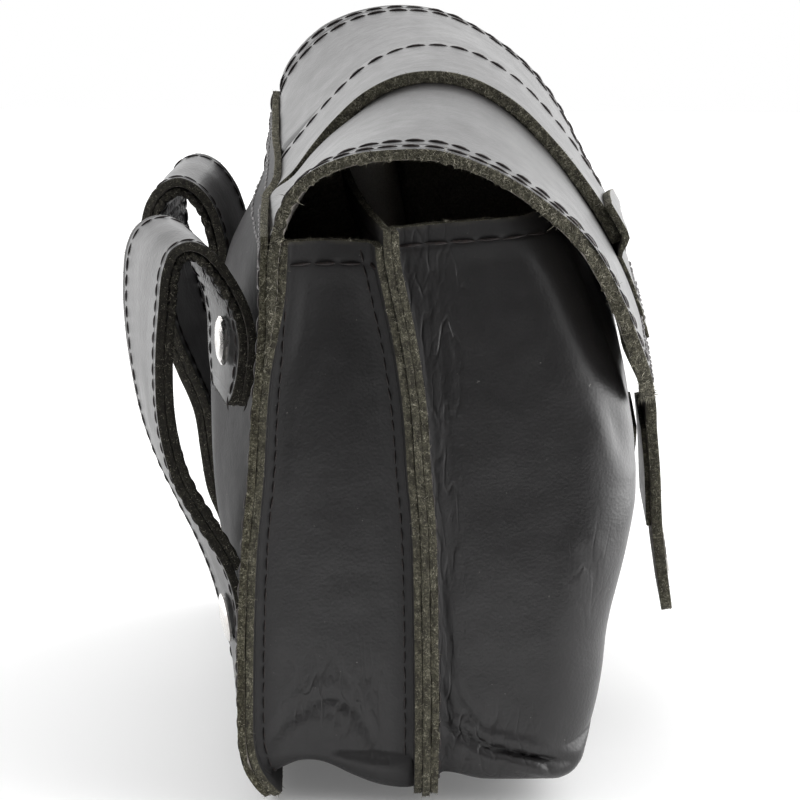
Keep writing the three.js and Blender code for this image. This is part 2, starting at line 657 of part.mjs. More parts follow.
const LINING_LIFT = -STRAP - GAP * 1.3 - STRAP / 2;
for (const [side, rows, x] of [["left", LEFT_LOOP, -1], ["right", RIGHT_LOOP, 1]]) {
  const loop = loopLine(rows, x * LOOP_SPACING / 2);
  const start = runAtHeight(loop, LINING_START);
  add(`belt_loop_${side}`, makeLoopLayer(loop, 0, loop.length, -STRAP / 2, 36), LEATHER);
  add(`loop_lining_${side}`, makeLoopLayer(loop, start, loop.length, LINING_LIFT, 30), LEATHER);

  const innerLeg = steps(SEARCH, loop.length * 0.8, loop.length);
  const snapRun = innerLeg.find((run) => loop.line.getPointAt(run / loop.length).z <= SNAP_HEIGHT);
  const snap = onLoop(loop, CAP_SHIFT, snapRun, LINING_LIFT - STRAP / 2);
  const into = snap.clone().sub(onLoop(loop, CAP_SHIFT, snapRun, 0));
  addCap(`loop_snap_${side}`, snap, into, GAP * 2);

  const rivetRun = runAtHeight(loop, RIVET_HEIGHT);
  const rivet = onLoop(loop, CAP_SHIFT, rivetRun, 0);
  const out = rivet.clone().sub(onLoop(loop, CAP_SHIFT, rivetRun, -1));
  addCap(`loop_rivet_${side}`, rivet, out, GAP * 2.5);
}

// Stand the bag on the ground with the origin under the middle of its box.
const box = new THREE.Box3().setFromObject(bag);
bag.position.set(0, -(box.min.y + box.max.y) / 2, -box.min.z);

export default bag;
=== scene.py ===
# %% [markdown]
# # A leather belt bag
#
# The bag's solids come packed as a fixed frame: closed, plain and faceted, because a physics engine
# weighs them and lets them touch. This lesson makes what the eye sees in the same place and size:
# sheets of leather with grain, creases and raw cut edges, rows of waxed thread, and metal caps.

import math

import bmesh
import bpy
import numpy as np
from mathutils import Matrix, Vector, noise
from mathutils.bvhtree import BVHTree


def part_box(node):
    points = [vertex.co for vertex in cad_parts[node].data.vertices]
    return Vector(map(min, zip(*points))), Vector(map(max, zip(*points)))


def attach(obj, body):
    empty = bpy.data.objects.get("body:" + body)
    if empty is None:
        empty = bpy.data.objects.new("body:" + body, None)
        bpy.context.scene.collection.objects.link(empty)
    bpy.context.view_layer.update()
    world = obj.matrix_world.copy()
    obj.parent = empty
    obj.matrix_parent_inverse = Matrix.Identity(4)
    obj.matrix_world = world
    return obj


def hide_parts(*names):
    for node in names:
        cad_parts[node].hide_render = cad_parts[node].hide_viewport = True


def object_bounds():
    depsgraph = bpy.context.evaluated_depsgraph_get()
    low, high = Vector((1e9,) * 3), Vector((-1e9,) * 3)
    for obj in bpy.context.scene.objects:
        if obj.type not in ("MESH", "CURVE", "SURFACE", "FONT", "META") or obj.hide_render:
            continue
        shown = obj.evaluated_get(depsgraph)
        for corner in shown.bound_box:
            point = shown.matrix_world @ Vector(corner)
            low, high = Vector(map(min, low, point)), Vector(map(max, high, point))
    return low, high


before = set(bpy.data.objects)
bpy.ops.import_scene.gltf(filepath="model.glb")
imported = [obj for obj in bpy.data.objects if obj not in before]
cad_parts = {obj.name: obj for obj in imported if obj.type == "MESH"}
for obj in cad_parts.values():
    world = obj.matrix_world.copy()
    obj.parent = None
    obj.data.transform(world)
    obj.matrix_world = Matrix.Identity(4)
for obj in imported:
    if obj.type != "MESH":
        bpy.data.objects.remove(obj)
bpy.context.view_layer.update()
scene = bpy.context.scene

# %% [markdown]
# ## Sizes
#
# A maker works from a few sizes, so the script does too: the width over the seams, the height of the
# body, and how thick each leather is. They are in millimetres and become metres only when a mesh is
# made. The width is read from the frame, and the others repeat what its solids were made from. Only
# the flap's tail is longer here: it is thinned, so it reaches deeper into the back seam.

# %% Driving sizes
MM = 0.001
panel_low, panel_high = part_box("back_panel")
WIDTH = round((panel_high.x - panel_low.x) / MM)  # over the raw side edges of the seams
HEIGHT = 125  # of the back panel, away from its raised near corner
GUSSET_HEIGHT, DIVIDER_HEIGHT, POCKET_HEIGHT = 126.4, 130.2, 129.6  # at the seams
CORNER = 10  # radius of the seams' bottom corners
SEAM = 6  # width of the turned-out flanges
FLANGE_EDGE = 0.2  # how far the flanges' raw edges stay inside the panels' edges
BEND = 2.4  # radius where a flange turns into its wall
BODY, FLAP, STRAP = 1.7, 2.4, 2.0  # thickness of the body, the flap, and the belt loops' layers
FLAP_STRAP, FLAP_PATCH, POCKET_PATCH, TAB_PATCH = 2.8, 1.6, 1.5, 1.2  # and of the small parts
GAP, TIGHT = 0.3, 0.08  # air between free layers, and between layers that are sewn together
FLAP_WIDTH, FLAP_CORNER = 182, 20
FLAP_END, TAIL = 128.5, 26  # runs over the top, forwards and down inside the back seam
STRAP_WIDTH, STRAP_END = 38, 102.5
STRAP_DIP = 2.9  # how deep the strap's tail sinks into the flap
PATCH_WIDTH, PATCH_SLANT = 42, 4.5
PATCH_START, PATCH_END = 94.5, 125.5
TAB_WIDTH, TAB_CORNER = 38, 5
LOOP_WIDTH, LOOP_SPACING = 29, 72
print("width over the seams:", WIDTH, "mm")

# %% [markdown]
# ## Tables of sections
#
# Soft leather has no exact formula, but a few measured sections describe it. Each table has named
# columns, and reading it between its rows gives a smooth value, so every mesh can be as fine as it
# needs while the numbers stay few.

# %% A table that is read smoothly
class Table:
    """Rows with named columns. The first column is the one that the others are looked up by."""

    def __init__(self, names, *rows):
        self.names = names.split()
        self.rows = np.array(rows, float)

    def column(self, name):
        return self.rows[:, self.names.index(name)]

    def __call__(self, name, at):
        key, value = self.rows[:, 0], self.column(name)
        slope = np.gradient(value, key)
        slope[1:-1] = (value[2:] - value[:-2]) / (key[2:] - key[:-2])
        high = np.clip(np.searchsorted(key, at), 1, len(key) - 1)
        low = high - 1
        span, rise = key[high] - key[low], value[high] - value[low]
        start, end = slope[low] * span, slope[high] * span
        t = np.clip((at - key[low]) / span, 0, 1)
        bow = 3 * rise - 2 * start - end + t * (start + end - 2 * rise)
        return value[low] + t * (start + t * bow)


# %% Sections of the panels and the pocket
BACK_PANEL = Table("z end mid", (0, 29.4, 29.4), (4, 31.9, 31.4), (9, 34.4, 33.2), (15, 35.5, 34.5),
                   (22, 35.6, 36.2), (30, 35.6, 38.6), (42, 35.4, 41.0), (58, 34.8, 42.5),
                   (74, 33.4, 42.9), (90, 32.6, 42.2), (102, 31.6, 39.9), (111, 31.2, 36.9),
                   (118, 31.0, 33.6), (125, 30.7, 30.7))
BACK_RIDGE = Table("x part hollow top", (-90, 0, 0, 0), (-72, 0, 0.9, 0.2), (-52, 0, 1.8, 0.3),
                   (-36, 0.14, 0.8, 0.2), (-27, 0.34, 0.3, 0), (-18, 0.62, 0, -1.3),
                   (-8, 0.95, 0, -2.4), (6, 0.97, 0, -2.6), (20, 0.68, 0, -2.3),
                   (36, 0.3, 0.3, -1.6), (55, 0.02, 0.8, -1.4), (72, 0, 0.5, -1.3),
                   (90, 0, 0, -1.3))
TOP_EDGE = Table("x lift", (-90, 3.4), (-72, 2.0), (-52, 0.6), (-30, -0.6), (0, -0.9), (40, -0.4),
                 (90, 0))
MIDDLE_SEAM = Table("z end bow", (0, -6.2, 0), (15, -6.2, 0.2), (27, -6.1, 0.5), (45, -5.8, 1.2),
                    (62, -5.3, 2), (76, -4.1, 3), (90, -3.1, 4.4), (105, -0.9, 6.2),
                    (115, 1.2, 7.4), (124, 3.0, 8.6), (131, 3.3, 9.6))
POCKET_FRONT = Table("z end mid", (0, -38.5, -38.5), (12, -42.2, -42.2), (24, -44.8, -44.8),
                     (36, -46.2, -47.0), (46, -47.9, -49.6), (57, -50.3, -52.2), (68, -51.7, -53.4),
                     (82, -50.9, -52.0), (92, -49.0, -49.2), (100, -46.4, -45.8),
                     (110, -42.4, -41.6), (120, -37.6, -37.2), (130, -31.0, -30.2))

# %% Lines of the flap and the tab
FLAP_LINE = Table(
    "run near_y near_z mid_y mid_z far_y far_z", (5, 28.2, 129.4, 23.6, 128.1, 26.9, 129.2),
    (12, 26.1, 136.1, 18.8, 133.3, 23.5, 135.3), (20, 21.1, 142.2, 13.0, 138.8, 17.9, 140.9),
    (30, 12.2, 146.6, 5.0, 144.8, 8.9, 145.2), (40, 2.3, 148.2, -4.3, 148.3, -1.0, 146.5),
    (50, -7.6, 147.9, -14.2, 147.7, -10.8, 145.3), (62, -19.0, 144.1, -24.7, 142.2, -21.8, 140.2),
    (75, -30.2, 137.6, -33.8, 132.9, -32.2, 132.6), (88, -39.9, 129.0, -41.6, 122.4, -40.3, 122.2),
    (100, -46.3, 118.9, -47.9, 112.1, -45.8, 111.6), (113, -51.4, 106.9, -53.4, 100.3, -51.7, 99.9),
    (124, -54.8, 96.5, -56.6, 89.7, -55.6, 89.4), (134, -56.2, 86.6, -58.2, 79.8, -57.2, 79.5))
TAB_LINE = Table("z y", (24.4, -62.9), (35, -61.4), (45, -60.2), (58, -59.5), (68, -58.6),
                 (76, -57.9))

# %% Lines of the belt loops
LEFT_LOOP = Table("row y z lean", (0, 36.6, 11, 0.02), (1, 37.3, 18, 0.08), (2, 38.2, 26, 0.15),
                  (3, 39.8, 35, 0.22), (4, 42.6, 43, 0.25), (5, 47.4, 52, 0.22),
                  (6, 52.6, 62, 0.18), (7, 55.6, 71, 0.19), (8, 57.3, 80, 0.21),
                  (9, 58.3, 92, 0.26), (10, 58.2, 103, 0.3), (11, 57.2, 112, 0.3),
                  (12, 54.9, 116.6, 0.28), (13, 50.6, 118.6, 0.26), (14, 46.6, 117.5, 0.25),
                  (15, 43.0, 114, 0.25), (16, 39.4, 108.6, 0.25), (17, 37.0, 103, 0.26),
                  (18, 35.7, 96, 0.26), (19, 35.8, 89, 0.24), (20, 36.1, 82.5, 0.18),
                  (21, 36.5, 77.7, 0.13))
RIGHT_LOOP = Table("row y z lean", (0, 37.2, 11, 0), (1, 37.9, 18, -0.02), (2, 38.6, 26, -0.05),
                   (3, 39.6, 35, -0.1), (4, 42.1, 43, -0.14), (5, 43.4, 52, -0.16),
                   (6, 45.0, 62, -0.16), (7, 48.4, 71, -0.18), (8, 51.7, 80, -0.21),
                   (9, 54.7, 92, -0.23), (10, 56.6, 103, -0.22), (11, 55.8, 112, -0.18),
                   (12, 53.0, 116.4, -0.15), (13, 49.0, 118.0, -0.15), (14, 45.2, 116.8, -0.15),
                   (15, 41.4, 113, -0.15), (16, 38.6, 107, -0.16), (17, 37.1, 100, -0.17),
                   (18, 36.9, 92, -0.18), (19, 37.5, 84.5, -0.18), (20, 37.9, 77.5, -0.18))
LINING_START = 42  # height where a loop's inner layer begins
print("the pocket bulges most at z =", POCKET_FRONT.column("z")[POCKET_FRONT.column("mid").argmin()])

# %% [markdown]
# ## Small tools
#
# NumPy does the same sum on a whole grid of points at once, which is far quicker than a loop in
# Python. These helpers blend, ease and measure such grids.

# %% Blends, easings and directions
def lerp(a, b, t):
    """From a at t = 0 to b at t = 1."""
    return a + (b - a) * t


def ease(x, low, high):
    """0 below low and 1 above high, with a soft start and end."""
    t = np.clip((x - low) / (high - low), 0, 1)
    return t * t * (3 - 2 * t)


def bell(x, width):
    """1 at x = 0, and gone about two widths away."""
    return np.exp(-(x / width) ** 2)


def unit(v):
    """Vectors of length 1 with the same directions."""
    return v / np.maximum(np.linalg.norm(v, axis=-1, keepdims=True), 1e-9)


def points(x, y, z):
    """A grid of points from three grids or numbers."""
    return np.stack(np.broadcast_arrays(x, y, z), axis=-1).astype(float)


def round_off(x, width, radius):
    """How much shorter a round-ended strip is at a distance from its middle."""
    past = np.maximum(np.abs(x) - (width / 2 - radius), 0)
    return radius - np.sqrt(np.maximum(radius**2 - past**2, 0))


def across(width, step, radius=0.0):
    """Places across a strip, closer together where its corners are round."""
    straight = width / 2 - radius
    half = np.linspace(0, straight, max(round(straight / step), 1) + 1)
    if radius:
        turns = np.linspace(0, math.pi / 2, max(round(radius * 1.6 / step), 4) + 1)[1:]
        half = np.concatenate([half, straight + radius * np.sin(turns)])
    return np.concatenate([-half[:0:-1], half])


def wobble(place, size, seed=0):
    """Smooth noise from -1 to 1 at points in millimetres."""
    flat = place.reshape(-1, 3) / size + 37.1 * (seed + 1)
    return np.array([noise.noise(Vector(p)) for p in flat]).reshape(place.shape[:-1])


# %% [markdown]
# Straps and flaps follow a bent line. A centripetal Catmull-Rom curve passes through every given
# point with no loops or overshoot, and once its length is known a point on it is found by its run,
# the distance walked along it, just as a maker measures along a strap.

# %% A bent line that is measured by its run
class Line:
    """A smooth curve through points, walked by its run in millimetres."""

    def __init__(self, stations, per_span=16):
        p = np.asarray(stations, float)
        p = np.vstack([2 * p[0] - p[1], p, 2 * p[-1] - p[-2]])
        t = np.linspace(0, 1, per_span, endpoint=False)[:, None]
        dense = []
        for a, b, c, d in zip(p, p[1:], p[2:], p[3:]):
            before, span, after = (math.sqrt(math.dist(*pair)) for pair in ((a, b), (b, c), (c, d)))
            leave = ((b - a) / before - (c - a) / (before + span) + (c - b) / span) * span
            arrive = ((c - b) / span - (d - b) / (span + after) + (d - c) / after) * span
            bow = 3 * (c - b) - 2 * leave - arrive + t * (leave + arrive - 2 * (c - b))
            dense.append(b + t * (leave + t * bow))
        self.dense = np.vstack(dense + [p[-2:-1]])
        steps = np.linalg.norm(np.diff(self.dense, axis=0), axis=1)
        self.runs = np.concatenate([[0], np.cumsum(steps)])
        self.length = self.runs[-1]

    def at(self, run):
        run = np.clip(run, 0, self.length)
        return np.stack([np.interp(run, self.runs, axis) for axis in self.dense.T], axis=-1)

    def heading(self, run):
        run = np.clip(run, 0.5, self.length - 0.5)
        return unit(self.at(run + 0.5) - self.at(run - 0.5))

    def run_where(self, axis, value, first, last):
        """First run between two runs where one coordinate reaches a value."""
        runs = np.linspace(first, last, 800)
        here = self.at(runs)[:, axis]
        return runs[np.argmax((here - value) * np.sign(here[0] - value) <= 0)]


# %% [markdown]
# ## The shared surfaces
#
# Layers that lie on each other come from one surface, so they never cross: the back panel carries the
# flap's tail, the divider is the middle of the middle seam, and everything on the flap is lifted from
# the flap's own outer face.

# %% Back panel, divider and pocket front
def back_y(x, z):
    """Middle of the back panel's leather. Its top edge is drawn in where the strap's tail is."""
    pulled = ease(z, 4, 20) * (1 - ease(z, HEIGHT - 30, HEIGHT - 6))
    ridge = lerp(BACK_PANEL("end", z), BACK_PANEL("mid", z), BACK_RIDGE("part", x))
    face = ridge - BACK_RIDGE("hollow", x) * pulled - BODY / 2
    return face + BACK_RIDGE("top", x) * ease(z, HEIGHT - 20, HEIGHT - 1)


def divider_y(x, z):
    """Middle of the divider's leather, which bows backwards."""
    return MIDDLE_SEAM("end", z) + MIDDLE_SEAM("bow", z) * (1 - (2 * x / WIDTH) ** 2)


def pocket_y(x, z):
    """Outer face of the pocket's front."""
    full = np.maximum(1 - (2 * x / WIDTH) ** 2, 0)
    return lerp(POCKET_FRONT("end", z), POCKET_FRONT("mid", z), full)


# %% The flap's outer face, walked from the back panel's top
flap_lines = {}


def flap_line(x):
    """The flap's line at x. The near, middle and far lines of the table blend into it."""
    key = round(float(x), 3)
    if key not in flap_lines:
        u, side = 2 * key / FLAP_WIDTH, min(max(key, -WIDTH / 2), WIDTH / 2)
        z = np.linspace(HEIGHT - TAIL, HEIGHT - 0.5, 6)
        here = points(side, back_y(side, z), z)
        up = points(side, back_y(side, z + 0.5), z + 0.5) - here
        sideways = points(side + 0.5, back_y(side + 0.5, z), z) - here
        tail = here - unit(np.cross(up, sideways)) * (BODY / 2 + TIGHT)
        arch = [FLAP_LINE.column("near" + axis) * (u * u - u) / 2
                + FLAP_LINE.column("mid" + axis) * (1 - u * u)
                + FLAP_LINE.column("far" + axis) * (u * u + u) / 2 for axis in ("_y", "_z")]
        flap_lines[key] = Line(np.concatenate([tail[:, 1:], np.stack(arch, axis=1)]))
    return flap_lines[key]


def over_flap(x, run, lift):
    """Points at x, at a run from the back panel's top, lifted off the flap's outer face."""
    under_strap = 1 - ease(np.abs(x), STRAP_WIDTH / 2 + 1, STRAP_WIDTH / 2 + 6)
    lift = lift - STRAP_DIP * under_strap * (1 - ease(run, 0, 38))
    x, run, lift = (a.ravel() for a in np.broadcast_arrays(x, run, lift))
    out = np.zeros((len(x), 3))
    for place in np.unique(x):
        here = x == place
        line = flap_line(place)
        way = line.heading(run[here] + TAIL)
        normal = np.stack([way[:, 1], -way[:, 0]], axis=1)
        out[here, 0] = place
        out[here, 1:] = line.at(run[here] + TAIL) + normal * lift[here, None]
    return out


print("flap line at the middle:", round(flap_line(0).length, 1), "mm long")

# %% [markdown]
# ## From a surface to a sheet of leather
#
# A cut sheet has three kinds of surface: the smooth grain side, the rough flesh side, and the raw cut
# edge between them, a little rounded where the knife pulled it. One function makes all three from a
# grid of middle points and writes down, as attributes, what each vertex is: `raw` on the cut edge,
# `flesh` on the inner side, `margin`, the distance to the nearest cut, and `worked` where leather was
# bent so hard that it kept fine wrinkles. Materials and Geometry Nodes read those, so a groove beside
# an edge or a beard of fibres follows every piece by itself.

# %% Normals of a grid
def grid_normals(mid):
    """Normals of a grid's surface at its points."""
    along_u, along_v = np.gradient(mid, axis=0), np.gradient(mid, axis=1)
    normal = np.cross(along_u, along_v)
    size = np.linalg.norm(normal, axis=-1)
    for j in range(mid.shape[1] - 1, 0, -1):  # a pole takes the normals of its neighbours
        if (size[:, j] > 1e-6).all():
            break
    normal[:, j + 1:] = normal[:, j:j + 1]
    return unit(normal)


# %% Where the tables' numbers stand in the frame
def panel(surface, height, step):
    """Middle points of a flat panel with rounded bottom corners, up to a height."""
    columns = across(WIDTH, step, CORNER)[:, None]
    rows = np.linspace(0, 1, round(HEIGHT / step))[None, :]
    z = lerp(round_off(columns, WIDTH, CORNER), height, rows)
    return points(columns, surface(columns, z), z)


WALL_STEP, BACK_STEP = 1.5, 1.4  # size of the divider's and the back panel's mesh, mm
inner_wall = panel(divider_y, DIVIDER_HEIGHT, WALL_STEP)
skin = inner_wall[..., None, :] + grid_normals(inner_wall)[..., None, :] * BODY / 2 * [[1], [-1]]
STAND = np.array(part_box("divider")[0]) / MM - skin.min(axis=(0, 1, 2))
STAND[0] = 0


def in_place(place):
    """Millimetres in the tables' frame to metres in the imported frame."""
    return (place + STAND) * MM


print("the tables stand", STAND.round(3), "mm from the frame's origin")


# %% The free boundary of a grid
def boundary(nu, nv, closed_edge):
    """Grid places round the free edges, as seen from the grain side. closed_edge leaves one out."""
    low = [(i, 0) for i in range(nu)]
    right = [(nu - 1, j) for j in range(1, nv)]
    high = [(i, nv - 1) for i in range(nu - 2, -1, -1)]
    left = [(0, j) for j in range(nv - 2, 0, -1)]
    if closed_edge:
        return np.array([(0, nv - 1)] + left + low + right)
    return np.array(low + right + high + left)


# %% The raw rim of a sheet
RIM = Table("turn out height", (0, 0.21, 0.495), (1, 0.27, 0.4), (2, 0.3, 0.14), (3, 0.3, -0.14),
            (4, 0.27, -0.4), (5, 0.21, -0.495))  # section of a cut edge, mm and parts of thickness
FINE_NICKS, BROAD_NICKS, TUFTS = 0.9, 3.5, 0.8  # sizes of what roughens a cut edge, mm
RIM_BLEND = 4  # points over which a halved sheet's rim gets smooth before its middle line


def rim_rings(mid, normal, thick, ring, rough, fringe, closed_edge):
    """Rings of points from the grain side, over the cut edge, to the flesh side."""
    edge, edge_normal, edge_thick = (a[ring[:, 0], ring[:, 1]] for a in (mid, normal, thick))
    ahead, behind = np.roll(edge, -1, axis=0), np.roll(edge, 1, axis=0)
    if closed_edge:
        ahead[-1], behind[0] = edge[-1], edge[0]
    out = unit(np.cross(unit(ahead - behind), edge_normal))
    if closed_edge:
        out[[0, -1], 0] = 0
    rings = []
    for turn, push, height in RIM.rows:
        worn = rough * wobble(edge + 9 * turn, FINE_NICKS)
        worn = push + worn + rough * wobble(edge, BROAD_NICKS, seed=turn)
        if closed_edge:
            worn = worn * np.minimum(1, np.arange(len(edge)) / RIM_BLEND)
        hang = fringe * (height < -0.4) * np.maximum(wobble(edge, TUFTS, seed=5), -0.2)
        lift = height * edge_thick - hang[:, None]
        rings.append(edge + out * worn[:, None] + edge_normal * lift)
    return rings


# %% The faces of a closed sheet
def shell_faces(nu, nv, ring, closed_edge):
    """Quads of the grain side, the flesh side and the rim that joins them."""
    ids = np.arange(nu * nv).reshape(nu, nv)
    quads = np.stack([ids[:-1, :-1], ids[1:, :-1], ids[1:, 1:], ids[:-1, 1:]], axis=-1)
    quads = quads.reshape(-1, 4)
    hoops = [ids[ring[:, 0], ring[:, 1]]]
    hoops += [2 * nu * nv + k * len(ring) + np.arange(len(ring)) for k in range(len(RIM.rows))]
    hoops += [hoops[0] + nu * nv]
    if not closed_edge:
        hoops = [np.append(hoop, hoop[0]) for hoop in hoops]
    faces = [quads, (quads + nu * nv)[:, ::-1]]
    faces += [np.stack([a[:-1], b[:-1], b[1:], a[1:]], axis=-1) for a, b in zip(hoops, hoops[1:])]
    return np.vstack(faces).tolist()


# %% What each vertex is
def write_marks(mesh, mid, worked, ring, closed_edge):
    """Writes the four attributes and a UV map of the runs in metres. Returns the flat size."""
    walked_u = np.cumsum(np.linalg.norm(np.diff(mid, axis=0, prepend=mid[:1]), axis=-1), axis=0)
    walked_v = np.cumsum(np.linalg.norm(np.diff(mid, axis=1, prepend=mid[:, :1]), axis=-1), axis=1)
    nearest = np.minimum(walked_v, np.minimum(walked_u, walked_u[-1:] - walked_u))
    if not closed_edge:
        nearest = np.minimum(nearest, walked_v[:, -1:] - walked_v)
    flat, bent, rim = nearest.ravel(), worked.ravel(), np.zeros(len(ring) * len(RIM.rows))
    down_the_rim = np.repeat(0.5 - RIM.column("height"), len(ring))
    marks = {"raw": (flat * 0, flat * 0, rim + 1), "flesh": (flat * 0, flat * 0 + 1, down_the_rim),
             "margin": (flat, flat, rim), "worked": (bent, bent, rim)}
    for mark, values in marks.items():
        attribute = mesh.attributes.new(mark, "FLOAT", "POINT")
        attribute.data.foreach_set("value", np.concatenate(values))
    place = np.stack([walked_u, walked_v], axis=-1)
    ring_place = [place[ring[:, 0], ring[:, 1]]] * len(RIM.rows)
    uv = np.vstack([place.reshape(-1, 2)] * 2 + ring_place) * MM
    corners = np.empty(len(mesh.loops), int)
    mesh.loops.foreach_get("vertex_index", corners)
    mesh.uv_layers.new(name="run").data.foreach_set("uv", uv[corners].ravel())
    return walked_u.max(), walked_v.max()


# %% One sheet, as a closed mesh
sheets = {}


def sheet(name, mid, thickness, center, material, rough=0.11, fringe=0.0, closed_edge=False,
          worked=0.0):
    """Closed leather from a grid of middle points, its grain side facing away from center."""
    thick, worked = (np.broadcast_to(a, mid.shape[:2])[..., None] for a in (thickness, worked))
    if np.mean(np.sum(grid_normals(mid) * (mid - np.array(center)), axis=-1)) < 0:
        mid, thick, worked = mid[::-1], thick[::-1], worked[::-1]
    normal = grid_normals(mid)
    if closed_edge:  # the last column lies on the middle line, where both halves meet
        normal[:, -1, 0] = 0
        normal = unit(normal)
    ring = boundary(*mid.shape[:2], closed_edge)
    grain, flesh = mid + normal * thick / 2, mid - normal * thick / 2
    rings = rim_rings(mid, normal, thick, ring, rough, fringe, closed_edge)
    vertices = np.vstack([grain.reshape(-1, 3), flesh.reshape(-1, 3), *rings])
    mesh = bpy.data.meshes.new(name)
    mesh.from_pydata(in_place(vertices).tolist(), [],
                     shell_faces(*mid.shape[:2], ring, closed_edge))
    width, length = write_marks(mesh, mid, worked, ring, closed_edge)
    if closed_edge:
        work = bmesh.new()
        work.from_mesh(mesh)
        bmesh.ops.remove_doubles(work, verts=work.verts, dist=1e-6)
        work.to_mesh(mesh)
        work.free()
    mesh.shade_smooth()
    mesh.materials.append(material)
    sheets[name] = bpy.data.objects.new(name, mesh)
    scene.collection.objects.link(sheets[name])
    print(f"{name}: {width:.0f} x {length:.0f} mm flat, {len(mesh.polygons)} faces")


# %% [markdown]
# Where leather is folded hard it keeps a crease: a narrow valley with soft lips beside it. A crease
# here is a short path across a wall, seen from the side, with a width and a depth in millimetres.

# %% Creases pressed into a wall
def crease(mid, where, path, width, depth):
    """How far points sink along a path given as (y, z) places. where fades it, from 0 to 1."""
    spot = mid[..., 1:]
    best, along = np.full(spot.shape[:-1], 1e9), np.zeros(spot.shape[:-1])
    for k, (a, b) in enumerate(zip(np.array(path), np.array(path)[1:])):
        t = np.clip(np.sum((spot - a) * (b - a), axis=-1) / np.sum((b - a) ** 2), 0, 1)
        far = np.linalg.norm(spot - (a + t[..., None] * (b - a)), axis=-1)
        along = np.where(far < best, (k + t) / (len(path) - 1), along)
        best = np.minimum(best, far)
    fade = np.sin(np.pi * np.clip(along, 0.03, 0.97)) ** 0.6
    lips = bell(best - 1.9 * width, 0.9 * width)
    return -depth * where * fade * (bell(best, width) - 0.45 * lips)


def oval(mid, y, z, half_y, half_z):
    """1 in the middle of a soft oval on a wall, seen from the side, and 0 outside it."""
    return bell(np.hypot((mid[..., 1] - y) / half_y, (mid[..., 2] - z) / half_z), 1)


def sink(mid, amount, center):
    """Moves a grid's points along their normals, away from center where the amount is positive."""
    normal = grid_normals(mid)
    if np.mean(np.sum(normal * (mid - np.array(center)), axis=-1)) < 0:
        normal = -normal
    return mid + normal * amount[..., None]

# %% [markdown]
# ## Finishes
#
# All finishes are procedural, so they stay sharp at any distance and need no image. Shader maths is
# easier to read as a formula than as a list of nodes, so one small class turns Python's operators into
# math nodes. Lengths inside a material are metres, because object coordinates are.

# %% A number that varies over a surface
def plug(tree, item, socket):
    """Links a varying value to a socket, or sets a plain one."""
    if isinstance(item, Field):
        tree.links.new(item.socket, socket)
    else:
        socket.default_value = item


class Field:
    """A value that varies over a surface: the output of a shader node."""

    def __init__(self, tree, socket):
        self.tree, self.socket = tree, socket

    def math(self, operation, *items, clamp=False):
        node = self.tree.nodes.new("ShaderNodeMath")
        node.operation, node.use_clamp = operation, clamp
        for item, socket in zip(items, node.inputs):
            plug(self.tree, item, socket)
        return Field(self.tree, node.outputs[0])

    def __add__(self, other):
        return self.math("ADD", self, other)

    def __sub__(self, other):
        return self.math("SUBTRACT", self, other)

    def __rsub__(self, other):
        return self.math("SUBTRACT", other, self)

    def __mul__(self, other):
        return self.math("MULTIPLY", self, other)

    def __truediv__(self, other):
        return self.math("DIVIDE", self, other)

    def __pow__(self, other):
        return self.math("POWER", self, other)

    __radd__, __rmul__ = __add__, __mul__

    def rise(self, low, high):
        """0 below low and 1 above high, or the other way round when low is the larger one."""
        return self.math("MULTIPLY", self - low, 1 / (high - low), clamp=True)

    def bump(self, centre, width):
        """A smooth ridge, 1 at a value and gone a few widths away."""
        away = (self - centre) / width
        return self.math("EXPONENT", -1 * away * away)


# %% A material under construction
class Finish:
    """A material under construction, with a Principled shader at its end."""

    def __init__(self, name):
        self.material = bpy.data.materials.new(name)
        self.material.use_nodes = True
        self.tree = self.material.node_tree
        self.shader = self.tree.nodes["Principled BSDF"]
        self.place = self.node("ShaderNodeTexCoord", output="Object")

    def node(self, kind, settings=(), output=0, **sockets):
        """Any node: its settings, then its inputs by name with underscores for spaces."""
        made = self.tree.nodes.new(kind)
        for key, value in dict(settings).items():
            setattr(made, key, value)
        for key, item in sockets.items():
            plug(self.tree, item, made.inputs[key.replace("_", " ")])
        return Field(self.tree, made.outputs[output])

    def stretched(self, x, y, z, place=None):
        """Coordinates scaled along each axis, so a small factor draws a pattern out."""
        made = self.tree.nodes.new("ShaderNodeVectorMath")
        made.operation = "MULTIPLY"
        plug(self.tree, place or self.place, made.inputs[0])
        plug(self.tree, (x, y, z), made.inputs[1])
        return Field(self.tree, made.outputs[0])

    def mark(self, name):
        """An attribute that the sheet wrote on its vertices."""
        return self.node("ShaderNodeAttribute", dict(attribute_name=name), output="Fac")

    def noise(self, size, detail=2.0, rough=0.5, place=None):
        """Cloudy noise about 0.5, with features of a size in millimetres."""
        return self.node("ShaderNodeTexNoise", Vector=place or self.place, Scale=1 / (size * MM),
                         Detail=detail, Roughness=rough)

    def cells(self, size, place=None):
        return self.node("ShaderNodeTexVoronoi", Scale=1 / (size * MM), Vector=place or self.place)

    def blend(self, amount, first, second):
        """A mix of two colours: the first at 0 and the second at 1."""
        made = self.tree.nodes.new("ShaderNodeMix")
        made.data_type = "RGBA"
        for item, index in ((amount, 0), (first, 6), (second, 7)):
            plug(self.tree, item, made.inputs[index])
        return Field(self.tree, made.outputs[2])

    def relief(self, height, depth):
        """A bump whose height of 1 stands for a depth in millimetres."""
        return self.node("ShaderNodeBump", Height=height, Distance=depth * MM, Strength=1.0)

    def finish(self, **sockets):
        """Plugs values into the shader by name and hands over the material."""
        for key, item in sockets.items():
            plug(self.tree, item, self.shader.inputs[key.replace("_", " ")])
        return self.material


